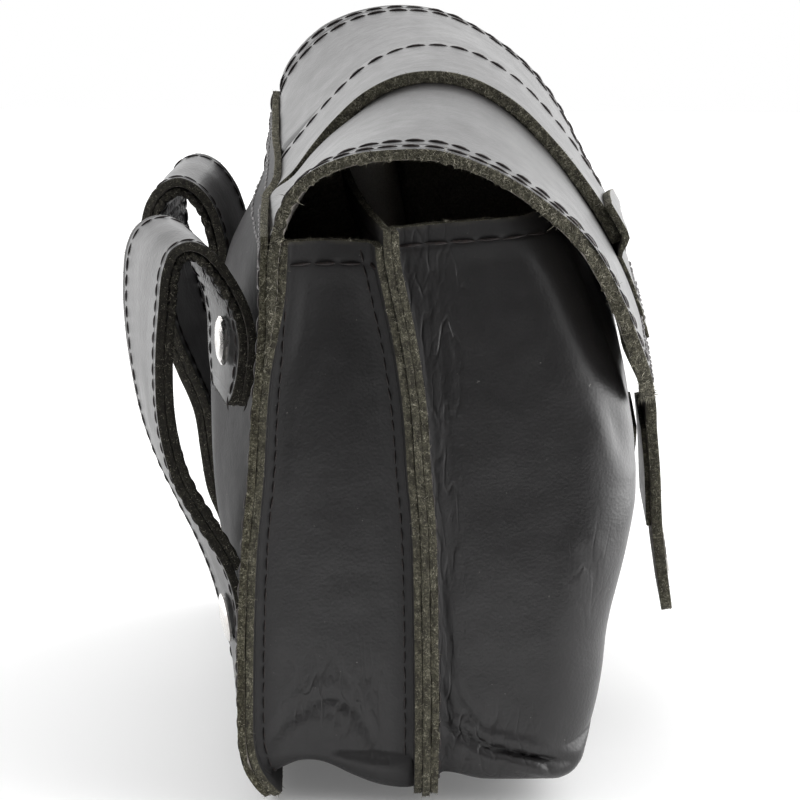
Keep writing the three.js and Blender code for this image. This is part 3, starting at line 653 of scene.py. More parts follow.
# %% [markdown]
# Black leather is dyed through, waxed and brushed. Its grain side is smooth with fine pores and soft
# undulations, so its colour hardly changes and most of what is seen is how it catches light. The
# flesh side is matt. A cut edge shows the fibres of the hide: olive and brown specks with pale ends.

# %% Colours of a hide
# The second colour, for the back panel, is a little darker than BLACK: painted shade.
BLACK, SHADED_BACK_BLACK, BROWN_DYE = (0.019, 0.018, 0.0185), (0.017, 0.016, 0.017), (0.13, 0.055, 0.03)
# The last of these is painted shade, put into the grooves under stitches and into worked folds.
DUST, RUBBED, FOLD_SHADE = (0.30, 0.29, 0.27, 1), (0.075, 0.068, 0.05, 1), (0.009, 0.007, 0.007, 1)
FLESH_DARK, FLESH_PALE = (0.14, 0.125, 0.115, 1), (0.38, 0.35, 0.32, 1)
CUT_DARK, CUT_OLIVE = (0.028, 0.026, 0.017, 1), (0.135, 0.127, 0.088, 1)
CUT_PALE, CUT_SHADE = (0.42, 0.395, 0.32, 1), (0.020, 0.017, 0.012, 1)
LOOP_EDGE_SHADE = (0.012, 0.010, 0.009, 1)  # painted shade for the belt loops' cut edges

# %% [markdown]
# One function makes every leather of the bag. It takes the dye, how rough the shine is, and where
# rows of stitches press a groove, counted in millimetres from the cut edge, which gets painted shade.
# A streak gives the way the hide was brushed: along the run of a strap, or down a wall.

# %% Leather
GROOVE_WIDTH = 0.75  # half width of the groove under a row of stitches, mm


def leather(name, dye, shine, rows=(), gloss=0.5, dry_seams=0.0, streak=(0.9, 0.09, 1),
            edge_unshaded=1.0, fleshy=1.0):
    """A leather material, with one dye and one shine on the grain side."""
    look = Finish(name)
    raw, flesh, margin = (look.mark(mark) for mark in ("raw", "flesh", "margin"))
    flesh = flesh * fleshy
    along = look.node("ShaderNodeUVMap", dict(uv_map="run"))
    cloud, fleck = look.noise(24, 3), look.noise(0.55, 2, 0.7)
    pores = look.cells(0.75)
    waves = look.noise(7, 2)
    brushed = look.noise(1, 3, 0.6, look.stretched(*streak, along))
    worn = look.noise(5, 4, 0.65)
    dust = look.noise(0.9, 1).rise(0.76, 0.8) * look.noise(9, 1).rise(0.5, 0.62)
    rubbed = margin.rise(0.9, 0.1) * worn.rise(0.4, 0.6)
    groove = sum((margin.bump(row, GROOVE_WIDTH) for row in rows), 0 * margin)
    folds = look.noise(5, 1.5, 0.5, look.stretched(1, 1, 0.28)).bump(0.5, 0.03)
    folds = folds + look.noise(2.4, 1, 0.5, look.stretched(1, 1, 0.35)).bump(0.5, 0.06) * 0.35
    folds = folds * look.mark("worked")

    darker, lighter = (*(0.8 * c for c in dye), 1), (*(1.25 * c for c in dye), 1)
    hide = look.blend(cloud.rise(0.3, 0.7), darker, lighter)
    hide = look.blend(dust * 0.35, hide, DUST)
    hide = look.blend(rubbed * 0.5, hide, RUBBED)
    # Painted shade: the grooves under the rows of stitches and the worked folds are darkened.
    hide = look.blend(groove * 0.4 + folds * 0.3, hide, FOLD_SHADE)
    inside = look.blend(fleck.rise(0.3, 0.75), FLESH_DARK, FLESH_PALE)
    fibre, clump = look.noise(0.45, 3, 0.8), look.noise(1.5, 3, 0.7)
    cut = look.blend(fibre.rise(0.38, 0.6), CUT_DARK, CUT_OLIVE)
    cut = look.blend((0.6 * fibre + 0.4 * clump).rise(0.57, 0.68), cut, CUT_PALE)
    cut = look.blend(clump.rise(0.54, 0.40) * 0.75, cut, CUT_SHADE)
    # Painted shade: the belt loops' cut edges are mostly darkened to a near black.
    cut = look.blend(edge_unshaded, LOOP_EDGE_SHADE, cut)
    colour = look.blend(raw, look.blend(flesh, hide, inside), cut)

    dull = raw.math("MAXIMUM", raw, flesh)
    shiny = shine + 0.16 * (worn - 0.5) + 0.10 * (cloud - 0.5) + 0.06 * (brushed - 0.5)
    shiny = shiny + dry_seams * margin.rise(11, 6)
    rough = shiny + (0.92 - shiny) * dull
    grain = pores * 0.035 + look.noise(0.3, 2) * 0.012 + brushed * 0.02 + waves * 0.15
    fuzz = fibre * 0.22 + look.noise(1.1, 2) * 0.12
    height = grain + (fuzz - grain) * dull - 0.3 * groove - 0.16 * folds
    return look.finish(Base_Color=colour, Roughness=rough, Normal=look.relief(height, 1.0),
                       Specular_IOR_Level=gloss)


SEAM_ROW, LOOP_ROW, FLAP_ROWS = 4.7, 2.5, (3, 8)  # rows of stitches, mm from the cut edge
black_leather = leather("smooth_leather", BLACK, 0.37)
seam_leather = leather("seam_leather", BLACK, 0.37, rows=(SEAM_ROW,), dry_seams=0.3,
                       streak=(0.09, 0.9, 1))
flap_leather = leather("flap_leather", BLACK, 0.37, rows=FLAP_ROWS)
# The belt loops and their linings get painted shade on their cut edges.
loop_leather = leather("loop_leather", BLACK, 0.36, rows=(LOOP_ROW,), edge_unshaded=0.3)
lining_leather = leather("lining_leather", BLACK, 0.42, rows=(LOOP_ROW,), edge_unshaded=0.3,
                         fleshy=0.0)
# The back panel's leather uses a darker copy of the black dye: painted shade.
back_leather = leather("back_leather", SHADED_BACK_BLACK, 0.6, gloss=0.2)
brown_leather = leather("patch_leather", BROWN_DYE, 0.55)

# %% [markdown]
# The thread is black wax over a reddish yarn. The caps are pressed from plated steel: pale, satin,
# and a little tarnished in clouds. A loose fibre is one colour along its length, but the next one
# may be pale or dark, so its colour comes from a coarse noise.

# %% Waxed thread
look = Finish("waxed_thread")
strand = look.noise(0.5, 2)
yarn = look.blend(strand.rise(0.45, 0.7), (0.010, 0.007, 0.007, 1), (0.034, 0.020, 0.017, 1))
black_thread = look.finish(Base_Color=yarn, Roughness=0.32 + 0.25 * strand)

# %% Satin metal
look = Finish("satin_metal")
brushed = look.noise(0.35, 3, 0.6)
tarnish = look.noise(3.5, 3).rise(0.45, 0.75)
satin_metal = look.finish(
    Base_Color=look.blend(tarnish * 0.5, (0.83, 0.81, 0.78, 1), (0.55, 0.52, 0.48, 1)),
    Metallic=1.0, Roughness=0.22 + 0.16 * tarnish + 0.08 * brushed,
    Normal=look.relief(brushed, 0.01))

# %% Loose fibres
look = Finish("loose_fibre")
tone = look.noise(1.3, 1)
loose_fibre = look.finish(
    Base_Color=look.blend(tone.rise(0.38, 0.62), (0.06, 0.056, 0.038, 1), (0.36, 0.34, 0.27, 1)),
    Roughness=0.8)
print("finishes:", ", ".join(material.name for material in bpy.data.materials))

# %% [markdown]
# ## The body of the bag
#
# The back panel and the divider are flat sheets with rounded bottom corners, bent by what hangs on
# them. The gusset and the pocket start at a flange that is turned out into the seam, so both are
# swept round the same U-shaped outline with a section of their own.

# %% Back panel and divider
IN_FRONT, FAR_IN_FRONT = (0, -100, 60), (0, -200, 60)  # the grain side faces away from these
SEAM_ROUGH = 0.2  # how ragged the seams' cut edges are, mm
FLANGE_SHY = 0.5  # how much higher than the divider the flanges beside it end underneath, mm
sides = across(WIDTH, BACK_STEP, CORNER)[:, None]
back = panel(back_y, HEIGHT + TOP_EDGE("lift", sides), BACK_STEP)
hand_worn = 0.35 * wobble(back, 26) + 0.12 * wobble(back, 9, seed=1)
back = sink(back, hand_worn * ease(HEIGHT - back[..., 2], 2, 16), IN_FRONT)
sheet("back_panel_leather", back, BODY, IN_FRONT, back_leather)
sheet("divider_leather", inner_wall, BODY, FAR_IN_FRONT, seam_leather, rough=SEAM_ROUGH)


# %% The U-shaped outline of the seams
def outline(top, step):
    """Stations down one side, round the bottom and up the other: x, z and the way outwards."""
    half, straight = WIDTH / 2, top - CORNER
    turn = np.linspace(0, math.pi / 2, 11)
    side = np.linspace(top, CORNER, round(straight / step) + 1)[:-1]
    base = np.linspace(half - CORNER, 0, round((half - CORNER) / step) + 1)[1:]
    x = np.concatenate([side * 0 + half, half - CORNER + CORNER * np.cos(turn), base])
    z = np.concatenate([side, CORNER - CORNER * np.sin(turn), base * 0])
    out_x = np.concatenate([side * 0 + 1, np.cos(turn), base * 0])
    out_z = np.concatenate([side * 0, -np.sin(turn), base * 0 - 1])
    right = np.stack([x, z, out_x, out_z], axis=1)
    left = right[-2::-1] * (-1, 1, -1, 1)
    return np.vstack([right, left])


def inset(at, distance, y):
    """Points at a distance inwards from the stations of an outline."""
    x, z, out_x, out_z = (at[:, k, None] for k in range(4))
    return points(x - out_x * distance, y, z - out_z * distance)


# %% [markdown]
# The gusset is one long strip, bent into a U. On the real bag its two edges are turned out and sewn,
# and its bottom has buckled upwards near the corners. Sweeping one section along the outline gives
# the strip, and a few more terms give the hollow, the arch and the sag. Hard bends then get creases.

# %% Section of the rear gusset
GUSSET_HOLLOW = 1.5  # how far the end walls bow inwards, mm
GUSSET_ARCH = 3.6  # how high its bottom buckles near the corners
GUSSET_FALL = 3.6  # how much narrower the front flange is underneath
GUSSET_SAG = 1.6  # how low its bottom hangs beside the middle seam


def gusset_section():
    """Inset, place across and bend of the flange, wall and flange, from back seam to middle seam."""
    flange = np.linspace(FLANGE_EDGE, SEAM - BEND, 5)
    turn = np.linspace(0, math.pi / 2, 6)[1:]
    wall = np.linspace(0, 1, 34)[1:-1]
    root, bend = SEAM - BEND * (1 - np.sin(turn)), BEND * (1 - np.cos(turn))
    insets = np.concatenate([flange, root, wall * 0 + SEAM, root[::-1], flange[::-1]])
    side = np.concatenate([flange * 0, root * 0, wall, root * 0 + 1, flange * 0 + 1])
    bends = np.concatenate([flange * 0, bend, BEND * (1 - 2 * wall), -bend[::-1], flange * 0])
    return insets[None], side[None], bends[None]


# %% Creases of the gusset
GUSSET_CREASES = [  # paths on the end walls, as (y, z)
    dict(path=[(29.6, 11.8), (24.2, 19), (19.6, 21.8), (14.4, 23.2), (10.6, 20.8), (8.0, 16.4),
               (5.2, 11.6)], width=1.3, depth=0.45),
    dict(path=[(28.4, 12.4), (24.6, 17), (20.4, 19.4), (15.0, 19.6), (11.2, 16.4)], width=0.9,
         depth=0.25),
    dict(path=[(29.4, 13), (25, 20.6), (22.6, 26), (20.6, 33)], width=0.7, depth=0.25),
    dict(path=[(28, 14), (22.6, 22.6), (20.2, 28)], width=0.6, depth=0.22),
    dict(path=[(12.6, 30), (10.4, 24), (8.2, 18.6), (6.2, 12.4)], width=0.8, depth=0.35),
    dict(path=[(9.6, 24), (7, 17), (4.4, 10)], width=0.7, depth=0.3),
    dict(path=[(4.6, 20), (3.6, 13), (2.6, 8)], width=0.7, depth=0.25),
]

# %% Where the gusset's edges are sewn
stations = outline(GUSSET_HEIGHT, 1.2)
insets, side, bends = gusset_section()
bottom = np.maximum(-stations[:, 3:], 0)
narrow = bottom * GUSSET_FALL * ease(side, 0.2, 0.85)
root = np.minimum(insets, SEAM - narrow * insets / SEAM)
edge = inset(stations, root, 0)
under_tail = ease(edge[..., 2], HEIGHT - TAIL - 3, HEIGHT - TAIL + 20)
behind = (BODY + TIGHT) * lerp(1.2, 1, ease(edge[..., 2], 2, 14))
seam_back = back_y(edge[..., 0], edge[..., 2]) - behind - under_tail * (FLAP + TIGHT)
seam_front = divider_y(edge[..., 0], edge[..., 2]) + BODY + TIGHT

# %% How the gusset bends between them
middle = np.sin(np.pi * side)
at_corner = bell(np.abs(edge[..., 0]) - (WIDTH / 2 - CORNER), 18)
arch = bottom * at_corner * GUSSET_ARCH * np.sin(np.pi * (1 - side) ** 1.3)
sag = bottom * GUSSET_SAG * middle * ease(side, 0.2, 0.6)
flange_end = np.clip(1 - (insets - FLANGE_EDGE) / (SEAM - BEND - FLANGE_EDGE), 0, 1)
push = (1 - bottom) * GUSSET_HOLLOW * middle + arch - sag
push = push + FLANGE_SHY * bottom * flange_end * (side == 1)
gusset = inset(stations, root + push, lerp(seam_back, seam_front, side) - bends)

# %% Gusset with its creases
gusset_center = (0, 14, 70)
on_wall = ease(middle, 0.15, 0.5)
pressed = (0.3 * wobble(gusset, 17) + 0.1 * wobble(gusset, 6, seed=2)) * on_wall
near_end = np.where(gusset[..., 0] < 0, 1, 0.6) * ease(np.abs(gusset[..., 0]), 70, 80)
for mark in GUSSET_CREASES:
    pressed += crease(gusset, near_end * (1 - bottom * 0.4), **mark)
gusset = sink(gusset, pressed, gusset_center)
wrinkled = on_wall * (oval(gusset, 17, 23, 11, 8) + oval(gusset, 7, 17, 5, 12))
sheet("rear_gusset_leather", gusset, BODY, gusset_center, seam_leather, rough=SEAM_ROUGH,
      worked=np.minimum(wrinkled, 1))

# %% [markdown]
# The pocket is one moulded skin. Its section has the seam's flange and a side wall, turns a rounded
# edge, and then runs over the front towards a spine in the middle, where both halves meet and are
# welded. Its bottom corner is the most worked place of the bag: a pinch beside the middle seam, a
# hard fold along the bottom, and fine drapes where the wall turns into the front.

# %% Creases of the pocket
POCKET_CREASES = [  # paths on the side walls, as (y, z)
    dict(path=[(-9.4, 19), (-11.6, 16), (-14.6, 14.8), (-17.6, 13.6)], width=1.3, depth=1.1),
    dict(path=[(-16, 14), (-20.6, 11.8), (-26, 10.6), (-31.6, 9.2), (-37.6, 8.2)], width=1.1,
         depth=2.0),
    dict(path=[(-8.6, 27), (-11.4, 21), (-15.4, 17.6)], width=0.8, depth=0.45),
    dict(path=[(-9.4, 33), (-13.6, 24), (-17.4, 19), (-18.6, 15)], width=0.8, depth=0.4),
    dict(path=[(-8.8, 52), (-10.4, 40), (-12, 30)], width=0.8, depth=0.3),
    dict(path=[(-10.2, 76), (-11.6, 62), (-11, 48)], width=0.6, depth=0.26),
    dict(path=[(-9, 96), (-10.6, 84), (-11.2, 70)], width=0.7, depth=0.26),
    dict(path=[(-10.4, 118), (-11.4, 106), (-13, 94), (-12.6, 84)], width=0.6, depth=0.24),
    dict(path=[(-8.2, 118), (-9, 106), (-9.4, 92)], width=0.7, depth=0.3),
    dict(path=[(-37, 47), (-40.6, 55), (-43.4, 62)], width=0.5, depth=0.3),
    dict(path=[(-39, 46), (-42, 53), (-44.6, 60)], width=0.5, depth=0.28),
    dict(path=[(-38.6, 51), (-42.2, 59), (-44.2, 67)], width=0.5, depth=0.22),
    dict(path=[(-44.6, 92), (-47, 84), (-49.4, 76)], width=1.6, depth=0.8),
]

# %% Stations and section of the pocket
POCKET_EDGE, POCKET_FOOT = 12, 4  # radius of the moulded edge, at the sides and underneath
POCKET_SAG, POCKET_RISE = 1.6, 1.8  # how far the bottom hangs, and the near top corner is pulled up
POCKET_HEART = 52  # height at which the sections from both sides meet
POCKET_STEP = 1.3  # size of its mesh, mm
stations = outline(POCKET_HEIGHT, POCKET_STEP)
turn = np.linspace(0, math.pi / 2, 6)[1:]
flange = np.linspace(FLANGE_EDGE, SEAM - BEND, 5)
wall = np.linspace(0, 1, 30)[1:-1]
rounding = np.linspace(0, math.pi / 2, 12)
face = np.linspace(0, 1, 26)[1:]

# %% Side walls and bottom of the pocket
foot = inset(stations, SEAM, 0)
front = pocket_y(foot[..., 0], np.maximum(foot[..., 2], 0)) + BODY / 2
at_top = ease(stations[:, 1:2], POCKET_HEIGHT - 30, POCKET_HEIGHT)
at_top = at_top * lerp(POCKET_RISE, 0, ease(stations[:, :1], -60, 60))
bottom = np.maximum(-stations[:, 3:], 0)

insets = np.concatenate([flange, SEAM - BEND * (1 - np.sin(turn)), wall * 0 + SEAM])[None]
bends = np.concatenate([flange * 0, BEND * (1 - np.cos(turn)), BEND * (1 - wall)])[None]
depth = np.concatenate([flange * 0, turn * 0, wall])[None]
seam = divider_y(*(inset(stations, insets, 0)[..., k] for k in (0, 2))) - BODY - TIGHT
sag = np.where(depth > 0, bottom * POCKET_SAG * ease(depth, 0, 0.4), 0)
soft = lerp(POCKET_EDGE, POCKET_FOOT, bottom)
flange_end = np.clip(1 - (insets - FLANGE_EDGE) / (SEAM - BEND - FLANGE_EDGE), 0, 1)
insets = insets - sag + FLANGE_SHY * bottom * flange_end
side_wall = inset(stations, insets, lerp(seam - bends, front + soft, depth))
side_wall[..., 2] += at_top * depth

# %% Front face of the pocket
heart = points(0, 0, np.maximum(foot[:, 0, 2], POCKET_HEART))
reach = np.linalg.norm(heart - foot[:, 0], axis=1, keepdims=True)
to_heart = (heart - foot[:, 0]) / reach
slant = -(to_heart[:, :1] * stations[:, 2:3] + to_heart[:, 2:] * stations[:, 3:])
edge = soft / np.maximum(slant, 0.45)
rounded = edge * (1 - np.cos(rounding))[None]
walked = np.concatenate([rounded, lerp(edge, reach, face[None])], axis=1)
turned = np.concatenate([rounding, face * 0 + math.pi / 2])[None]
front_face = foot + to_heart[:, None] * walked[..., None]
front_face[..., 2] -= bottom * POCKET_SAG * np.maximum(1 - walked / edge, 0)
front_face[..., 1] = pocket_y(front_face[..., 0], front_face[..., 2]) + BODY / 2
front_face[..., 1] += soft * (1 - np.sin(turned))
front_face[..., 2] += at_top
pocket = np.concatenate([side_wall, front_face], axis=1)

# %% Pocket with its creases
pocket_center = (0, -25, 70)
near_end = np.where(pocket[..., 0] < 0, 1, 0.65) * ease(np.abs(pocket[..., 0]), 62, 76)
pressed = 0.35 * wobble(pocket, 21) + 0.12 * wobble(pocket, 7, seed=3)
pressed *= ease(-pocket[..., 1], 8, 12) * ease(np.abs(pocket[..., 0]), 0, 12)
for mark in POCKET_CREASES:
    pressed += crease(pocket, near_end, **mark)
pressed[:, -1] = 0
pocket = sink(pocket, pressed, pocket_center)
wrinkled = ease(pocket[..., 1], -17, -9) * 0.8 + oval(pocket, -19, 13, 12, 8)
wrinkled = np.minimum(wrinkled + 0.5 * oval(pocket, -41, 54, 5, 12), 1) * near_end
sheet("front_pocket_leather", pocket, BODY, pocket_center, seam_leather, rough=SEAM_ROUGH,
      closed_edge=True, worked=wrinkled)

# %% [markdown]
# ## Flap, strap and closure
#
# The flap is one thick sheet. The centre strap lies on it and its front end is tucked under a patch
# that is sewn across. The closure tab hangs out from under the flap's front edge.

# %% Flap
FLAP_CENTER = (0, 0, 80)
FLAP_PAD, FLAP_FRINGE = 0.8, 0.9  # extra thickness and ragged fringe of its front, mm
columns = across(FLAP_WIDTH, 1.9, FLAP_CORNER)[:, None]
end = FLAP_END - round_off(columns, FLAP_WIDTH, FLAP_CORNER)
runs = lerp(-TAIL, end, np.linspace(0, 1, 165)[None])
skived = lerp(0.12, 1, ease(runs, -TAIL - 2, 20 - TAIL))  # its tail gets thin inside the seam
padded = FLAP_PAD * ease(runs, 55, 95)  # and its front is thick and furry
flap_grid = over_flap(columns, runs, -(FLAP * skived + padded) / 2).reshape(*runs.shape, 3)
hand_worn = 0.3 * wobble(flap_grid, 23) + 0.1 * wobble(flap_grid, 8, seed=4)
flap_grid = sink(flap_grid, hand_worn, FLAP_CENTER)
sheet("flap_leather", flap_grid, FLAP * skived + padded, FLAP_CENTER, flap_leather, rough=0.22,
      fringe=FLAP_FRINGE)

# %% Centre strap
STRAP_LIFT, STRAP_TAIL = TIGHT + FLAP_STRAP / 2, 18
columns = np.linspace(-STRAP_WIDTH / 2, STRAP_WIDTH / 2, 26)[:, None]
runs = np.linspace(-STRAP_TAIL, STRAP_END, 190)[None]
pulled_down = ease(columns, STRAP_WIDTH / 2 - 6, STRAP_WIDTH / 2)
strap_grid = over_flap(columns, runs, STRAP_LIFT - 0.15 * pulled_down)
strap_grid = strap_grid.reshape(columns.size, runs.size, 3)
sheet("flap_strap_leather", strap_grid, FLAP_STRAP, FLAP_CENTER, black_leather, rough=0.16)

# %% Cross patch
CROSS_ROWS, PUFF = (116.5, 121.5), 0.3  # runs of its two rows of stitches, and how deep they pull
columns = np.linspace(-PATCH_WIDTH / 2, PATCH_WIDTH / 2, 29)[:, None]
first = PATCH_START + PATCH_SLANT * (columns / PATCH_WIDTH + 0.5)
runs = lerp(first, PATCH_END, np.linspace(0, 1, 28)[None])
over_strap = 1 - ease(runs, STRAP_END - 0.5, STRAP_END + 3.5)
puffed = PUFF * (1 - sum(bell(runs - row, 1.1) for row in CROSS_ROWS)) - PUFF
patch_thick = lerp(0.9, FLAP_PATCH + 0.2, over_strap) + columns * 0
lift = TIGHT + patch_thick / 2 + over_strap * (FLAP_STRAP + TIGHT) + puffed
patch_grid = over_flap(columns, runs, lift).reshape(*runs.shape, 3)
sheet("flap_patch_leather", patch_grid, patch_thick, FLAP_CENTER, black_leather)

# %% [markdown]
# The tab is a separate strap that is sewn under the flap's front edge and hangs free. Its line starts
# on the flap's inner face and goes on through a table of places, so it leaves the flap without a kink.

# %% Closure tab
TAB_DEPTH = FLAP + GAP * 2.5 + 1  # of its middle, below the flap's outer face
under = over_flap(np.zeros(5), np.linspace(FLAP_END - 14, FLAP_END - 1, 5), -TAB_DEPTH)
free = np.stack([TAB_LINE.column("z") * 0, TAB_LINE.column("y"), TAB_LINE.column("z")], axis=1)
tab_line = Line(np.vstack([under, free[::-1]]))


def on_tab(x, run, lift):
    """Points on the tab, lifted towards its outer face."""
    x, run, lift = np.broadcast_arrays(x, run, lift)
    way = tab_line.heading(run)
    out = np.stack([run * 0, way[..., 2], -way[..., 1]], axis=-1)
    return tab_line.at(run) + out * lift[..., None] + points(x, 0, 0)


TAB_CENTER, TAB = (0, 0, 60), 2.5  # the tab is 2.5 mm thick
columns = across(TAB_WIDTH, 1.2, TAB_CORNER)[:, None]
runs = (tab_line.length - round_off(columns, TAB_WIDTH, TAB_CORNER)) * np.linspace(0, 1, 90)[None]
sheet("closure_tab_leather", on_tab(columns, runs, -0.1), TAB, TAB_CENTER, black_leather)

# %% The two patches that face each other
PATCH_HALF, PATCH_LOW, PATCH_HIGH = 17, 45.3, 68
high, low = (tab_line.run_where(2, z, 0, tab_line.length) for z in (PATCH_HIGH, PATCH_LOW))
columns = np.linspace(-PATCH_HALF, PATCH_HALF, 24)[:, None]
grid = on_tab(columns, np.linspace(high, low, 18)[None], -(STRAP + TAB_PATCH) / 2 - GAP)
sheet("tab_patch_leather", grid, TAB_PATCH, FAR_IN_FRONT, black_leather)
z = np.linspace(PATCH_LOW, PATCH_HIGH, 18)[None]
grid = points(columns, pocket_y(columns, z) - GAP - POCKET_PATCH / 2, z)
sheet("pocket_patch_leather", grid, POCKET_PATCH, TAB_CENTER, brown_leather)

# %% [markdown]
# ## Belt loops
#
# Each loop is a doubled strap that goes up from its sewn lower end, over the belt and down behind it.
# Inside the tight bend the inner layer has too much length, so it gathers into small scallops.

# %% Where a loop runs
def loop_line(table):
    """A belt loop's line. Its x is how far the loop leans, not a place."""
    return Line(np.stack([table.column(name) for name in ("lean", "y", "z")], axis=1))


def on_loop(line, x, across_loop, run, lift):
    """Points on a loop, lifted off its outer face. The line keeps the loop's lean as its x."""
    across_loop, run, lift = np.broadcast_arrays(across_loop, run, lift)
    here, way = line.at(run), line.heading(run)
    lean = here[..., 0]
    normal = unit(np.stack([-lean * way[..., 2], way[..., 2], -way[..., 1]], axis=-1))
    base = points(x + across_loop, here[..., 1] + lean * across_loop, here[..., 2])
    return base + normal * lift[..., None]


# %% Outer layer and lining of each loop
LINING_LIFT = -STRAP - TIGHT - STRAP / 2
LOOP_CORNER, LOOP_SHORT = 5, 2.6  # rounded ends, and how much the inner leg is cut short, mm
SCALLOP, SCALLOP_BEAT = 0.9, 0.95  # height of the gathers in mm, and how close they follow
loops = {}
for name, table, x in (("left", LEFT_LOOP, -1), ("right", RIGHT_LOOP, 1)):
    x = x * LOOP_SPACING / 2
    line = loop_line(table)
    center = (x, 47, 85)
    columns = across(LOOP_WIDTH, 1.6, LOOP_CORNER)[:, None]
    end = line.length - LOOP_SHORT - round_off(columns, LOOP_WIDTH, LOOP_CORNER)
    runs = lerp(0, end, np.linspace(0, 1, 150)[None])
    grid = on_loop(line, x, columns, runs, -STRAP / 2 + 0.12 * np.cos(columns / 3))
    sheet(f"belt_loop_{name}_leather", grid, STRAP, center, loop_leather)
    start = line.run_where(2, LINING_START, 0, line.length / 2)
    runs = lerp(start, end, np.linspace(0, 1, 170)[None])
    bend = ease(runs, line.length * 0.5, line.length * 0.58)
    bend = bend * (1 - ease(runs, line.length * 0.8, line.length * 0.88))
    scallops = np.abs(np.sin(runs * SCALLOP_BEAT + 0.25 * np.sin(runs * 0.7)))
    gathered = (SCALLOP * scallops - 0.35) * bend * (0.75 + 0.25 * np.cos(columns / 5))
    grid = on_loop(line, x, columns, runs, LINING_LIFT - gathered)
    sheet(f"loop_lining_{name}_leather", grid, STRAP, center, lining_leather, worked=2.5 * bend)
    loops[name] = (line, x)

# %% [markdown]
# ## Standing in for the solids
#
# Each leather sheet now takes the place of its solid and rides on the bag's one body.

# %% Replace the leather solids
BROWN = "pocket_patch"
for name, piece in sheets.items():
    node = name.removesuffix("_leather")
    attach(piece, "root")
    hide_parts(node)
    "brown_leather" if node == BROWN else "black_leather"
print(len(sheets), "sheets replace their solids")

# %% [markdown]
# The caps are rigid and already have their true shape, so their solids stay and only get a finish.

# %% Finish of the caps
CAPS = ("tab_cap", "loop_snap_left", "loop_snap_right", "loop_rivet_left", "loop_rivet_right")
for name in CAPS:
    for slot in bpy.data.objects[name].material_slots:
        slot.material = satin_metal

# %% [markdown]
# ## Stitches
#
# The bag is sewn on a machine with waxed black thread, five millimetres to a stitch. Every stitch is
# the same small hump with both ends in the leather, so one mesh and one node group make them all:
# the group walks along each sewing line, sets a stitch at every step, turns it along the line and
# away from the leather, and gives it a slight disorder from a fixed seed.

# %% One stitch
STITCH_STEP, STITCH_HALF, THREAD_RADIUS = 5.0, 2.45, 0.34  # mm
t = np.array([-1, -0.72, -0.25, 0.25, 0.72, 1])
turn = np.linspace(0, 2 * math.pi, 6, endpoint=False)
thin = THREAD_RADIUS * (1.15 - t**2)[:, None] / 1.15
hump = (0.36 * (1 - t**4) - 0.2)[:, None]
rings = points(STITCH_HALF * t[:, None], 1.1 * thin * np.cos(turn), hump + thin * np.sin(turn))
ids = np.arange(rings[..., 0].size).reshape(len(t), len(turn))
after = np.roll(ids, -1, axis=1)
quads = np.stack([ids[:-1], ids[1:], after[1:], after[:-1]], axis=-1).reshape(-1, 4)[:, ::-1]
stitch_mesh = bpy.data.meshes.new("stitch")
stitch_mesh.from_pydata((rings.reshape(-1, 3) * MM).tolist(), [],
                        quads.tolist() + [ids[0].tolist(), ids[-1][::-1].tolist()])
stitch_mesh.shade_smooth()
stitch = bpy.data.objects.new("stitch", stitch_mesh)


# %% Node groups that are run once
class Group:
    """A Geometry Nodes group with named inputs, run once on an object and then baked into it."""

    def __init__(self, name, **inputs):
        self.tree = bpy.data.node_groups.new(name, "GeometryNodeTree")
        face = self.tree.interface
        face.new_socket("Geometry", in_out="INPUT", socket_type="NodeSocketGeometry")
        for label, kind in inputs.items():
            face.new_socket(label, in_out="INPUT", socket_type="NodeSocket" + kind)
        face.new_socket("Geometry", in_out="OUTPUT", socket_type="NodeSocketGeometry")
        self.given = self.tree.nodes.new("NodeGroupInput").outputs

    def node(self, kind, settings=(), output=0, **sockets):
        made = self.tree.nodes.new(kind)
        for key, value in dict(settings).items():
            setattr(made, key, value)
        for key, item in sockets.items():
            socket = made.inputs[key.replace("_", " ")]
            if isinstance(item, bpy.types.NodeSocket):
                self.tree.links.new(item, socket)
            else:
                socket.default_value = item
        return made.outputs[output]

    def end(self, instances):
        """Turns instances into one mesh with the given material, as the output."""
        real = self.node("GeometryNodeRealizeInstances", Geometry=instances)
        done = self.node("GeometryNodeSetMaterial", Geometry=real, Material=self.given["Material"])
        self.tree.links.new(done, self.tree.nodes.new("NodeGroupOutput").inputs[0])

    def bake(self, piece, **values):
        """Runs the group on a piece and leaves the piece with the mesh it made."""
        modifier = piece.modifiers.new(self.tree.name, "NODES")
        modifier.node_group = self.tree
        for item in self.tree.interface.items_tree:
            if item.in_out == "INPUT" and item.name in values:
                modifier[item.identifier] = values[item.name]
        seen = piece.evaluated_get(bpy.context.evaluated_depsgraph_get())
        mesh = bpy.data.meshes.new_from_object(seen)
        piece.modifiers.clear()
        piece.data = mesh
        return len(mesh.polygons)


def random_vector(group, low, high, shift):
    """Random vectors between two limits. shift keeps two uses of one seed apart."""
    seed = group.tree.nodes.new("ShaderNodeMath")
    group.tree.links.new(group.given["Seed"], seed.inputs[0])
    seed.inputs[1].default_value = shift
    made = group.tree.nodes.new("FunctionNodeRandomValue")
    made.data_type = "FLOAT_VECTOR"
    made.inputs[0].default_value, made.inputs[1].default_value = low, high
    group.tree.links.new(seed.outputs[0], made.inputs["Seed"])
    return made.outputs[0]


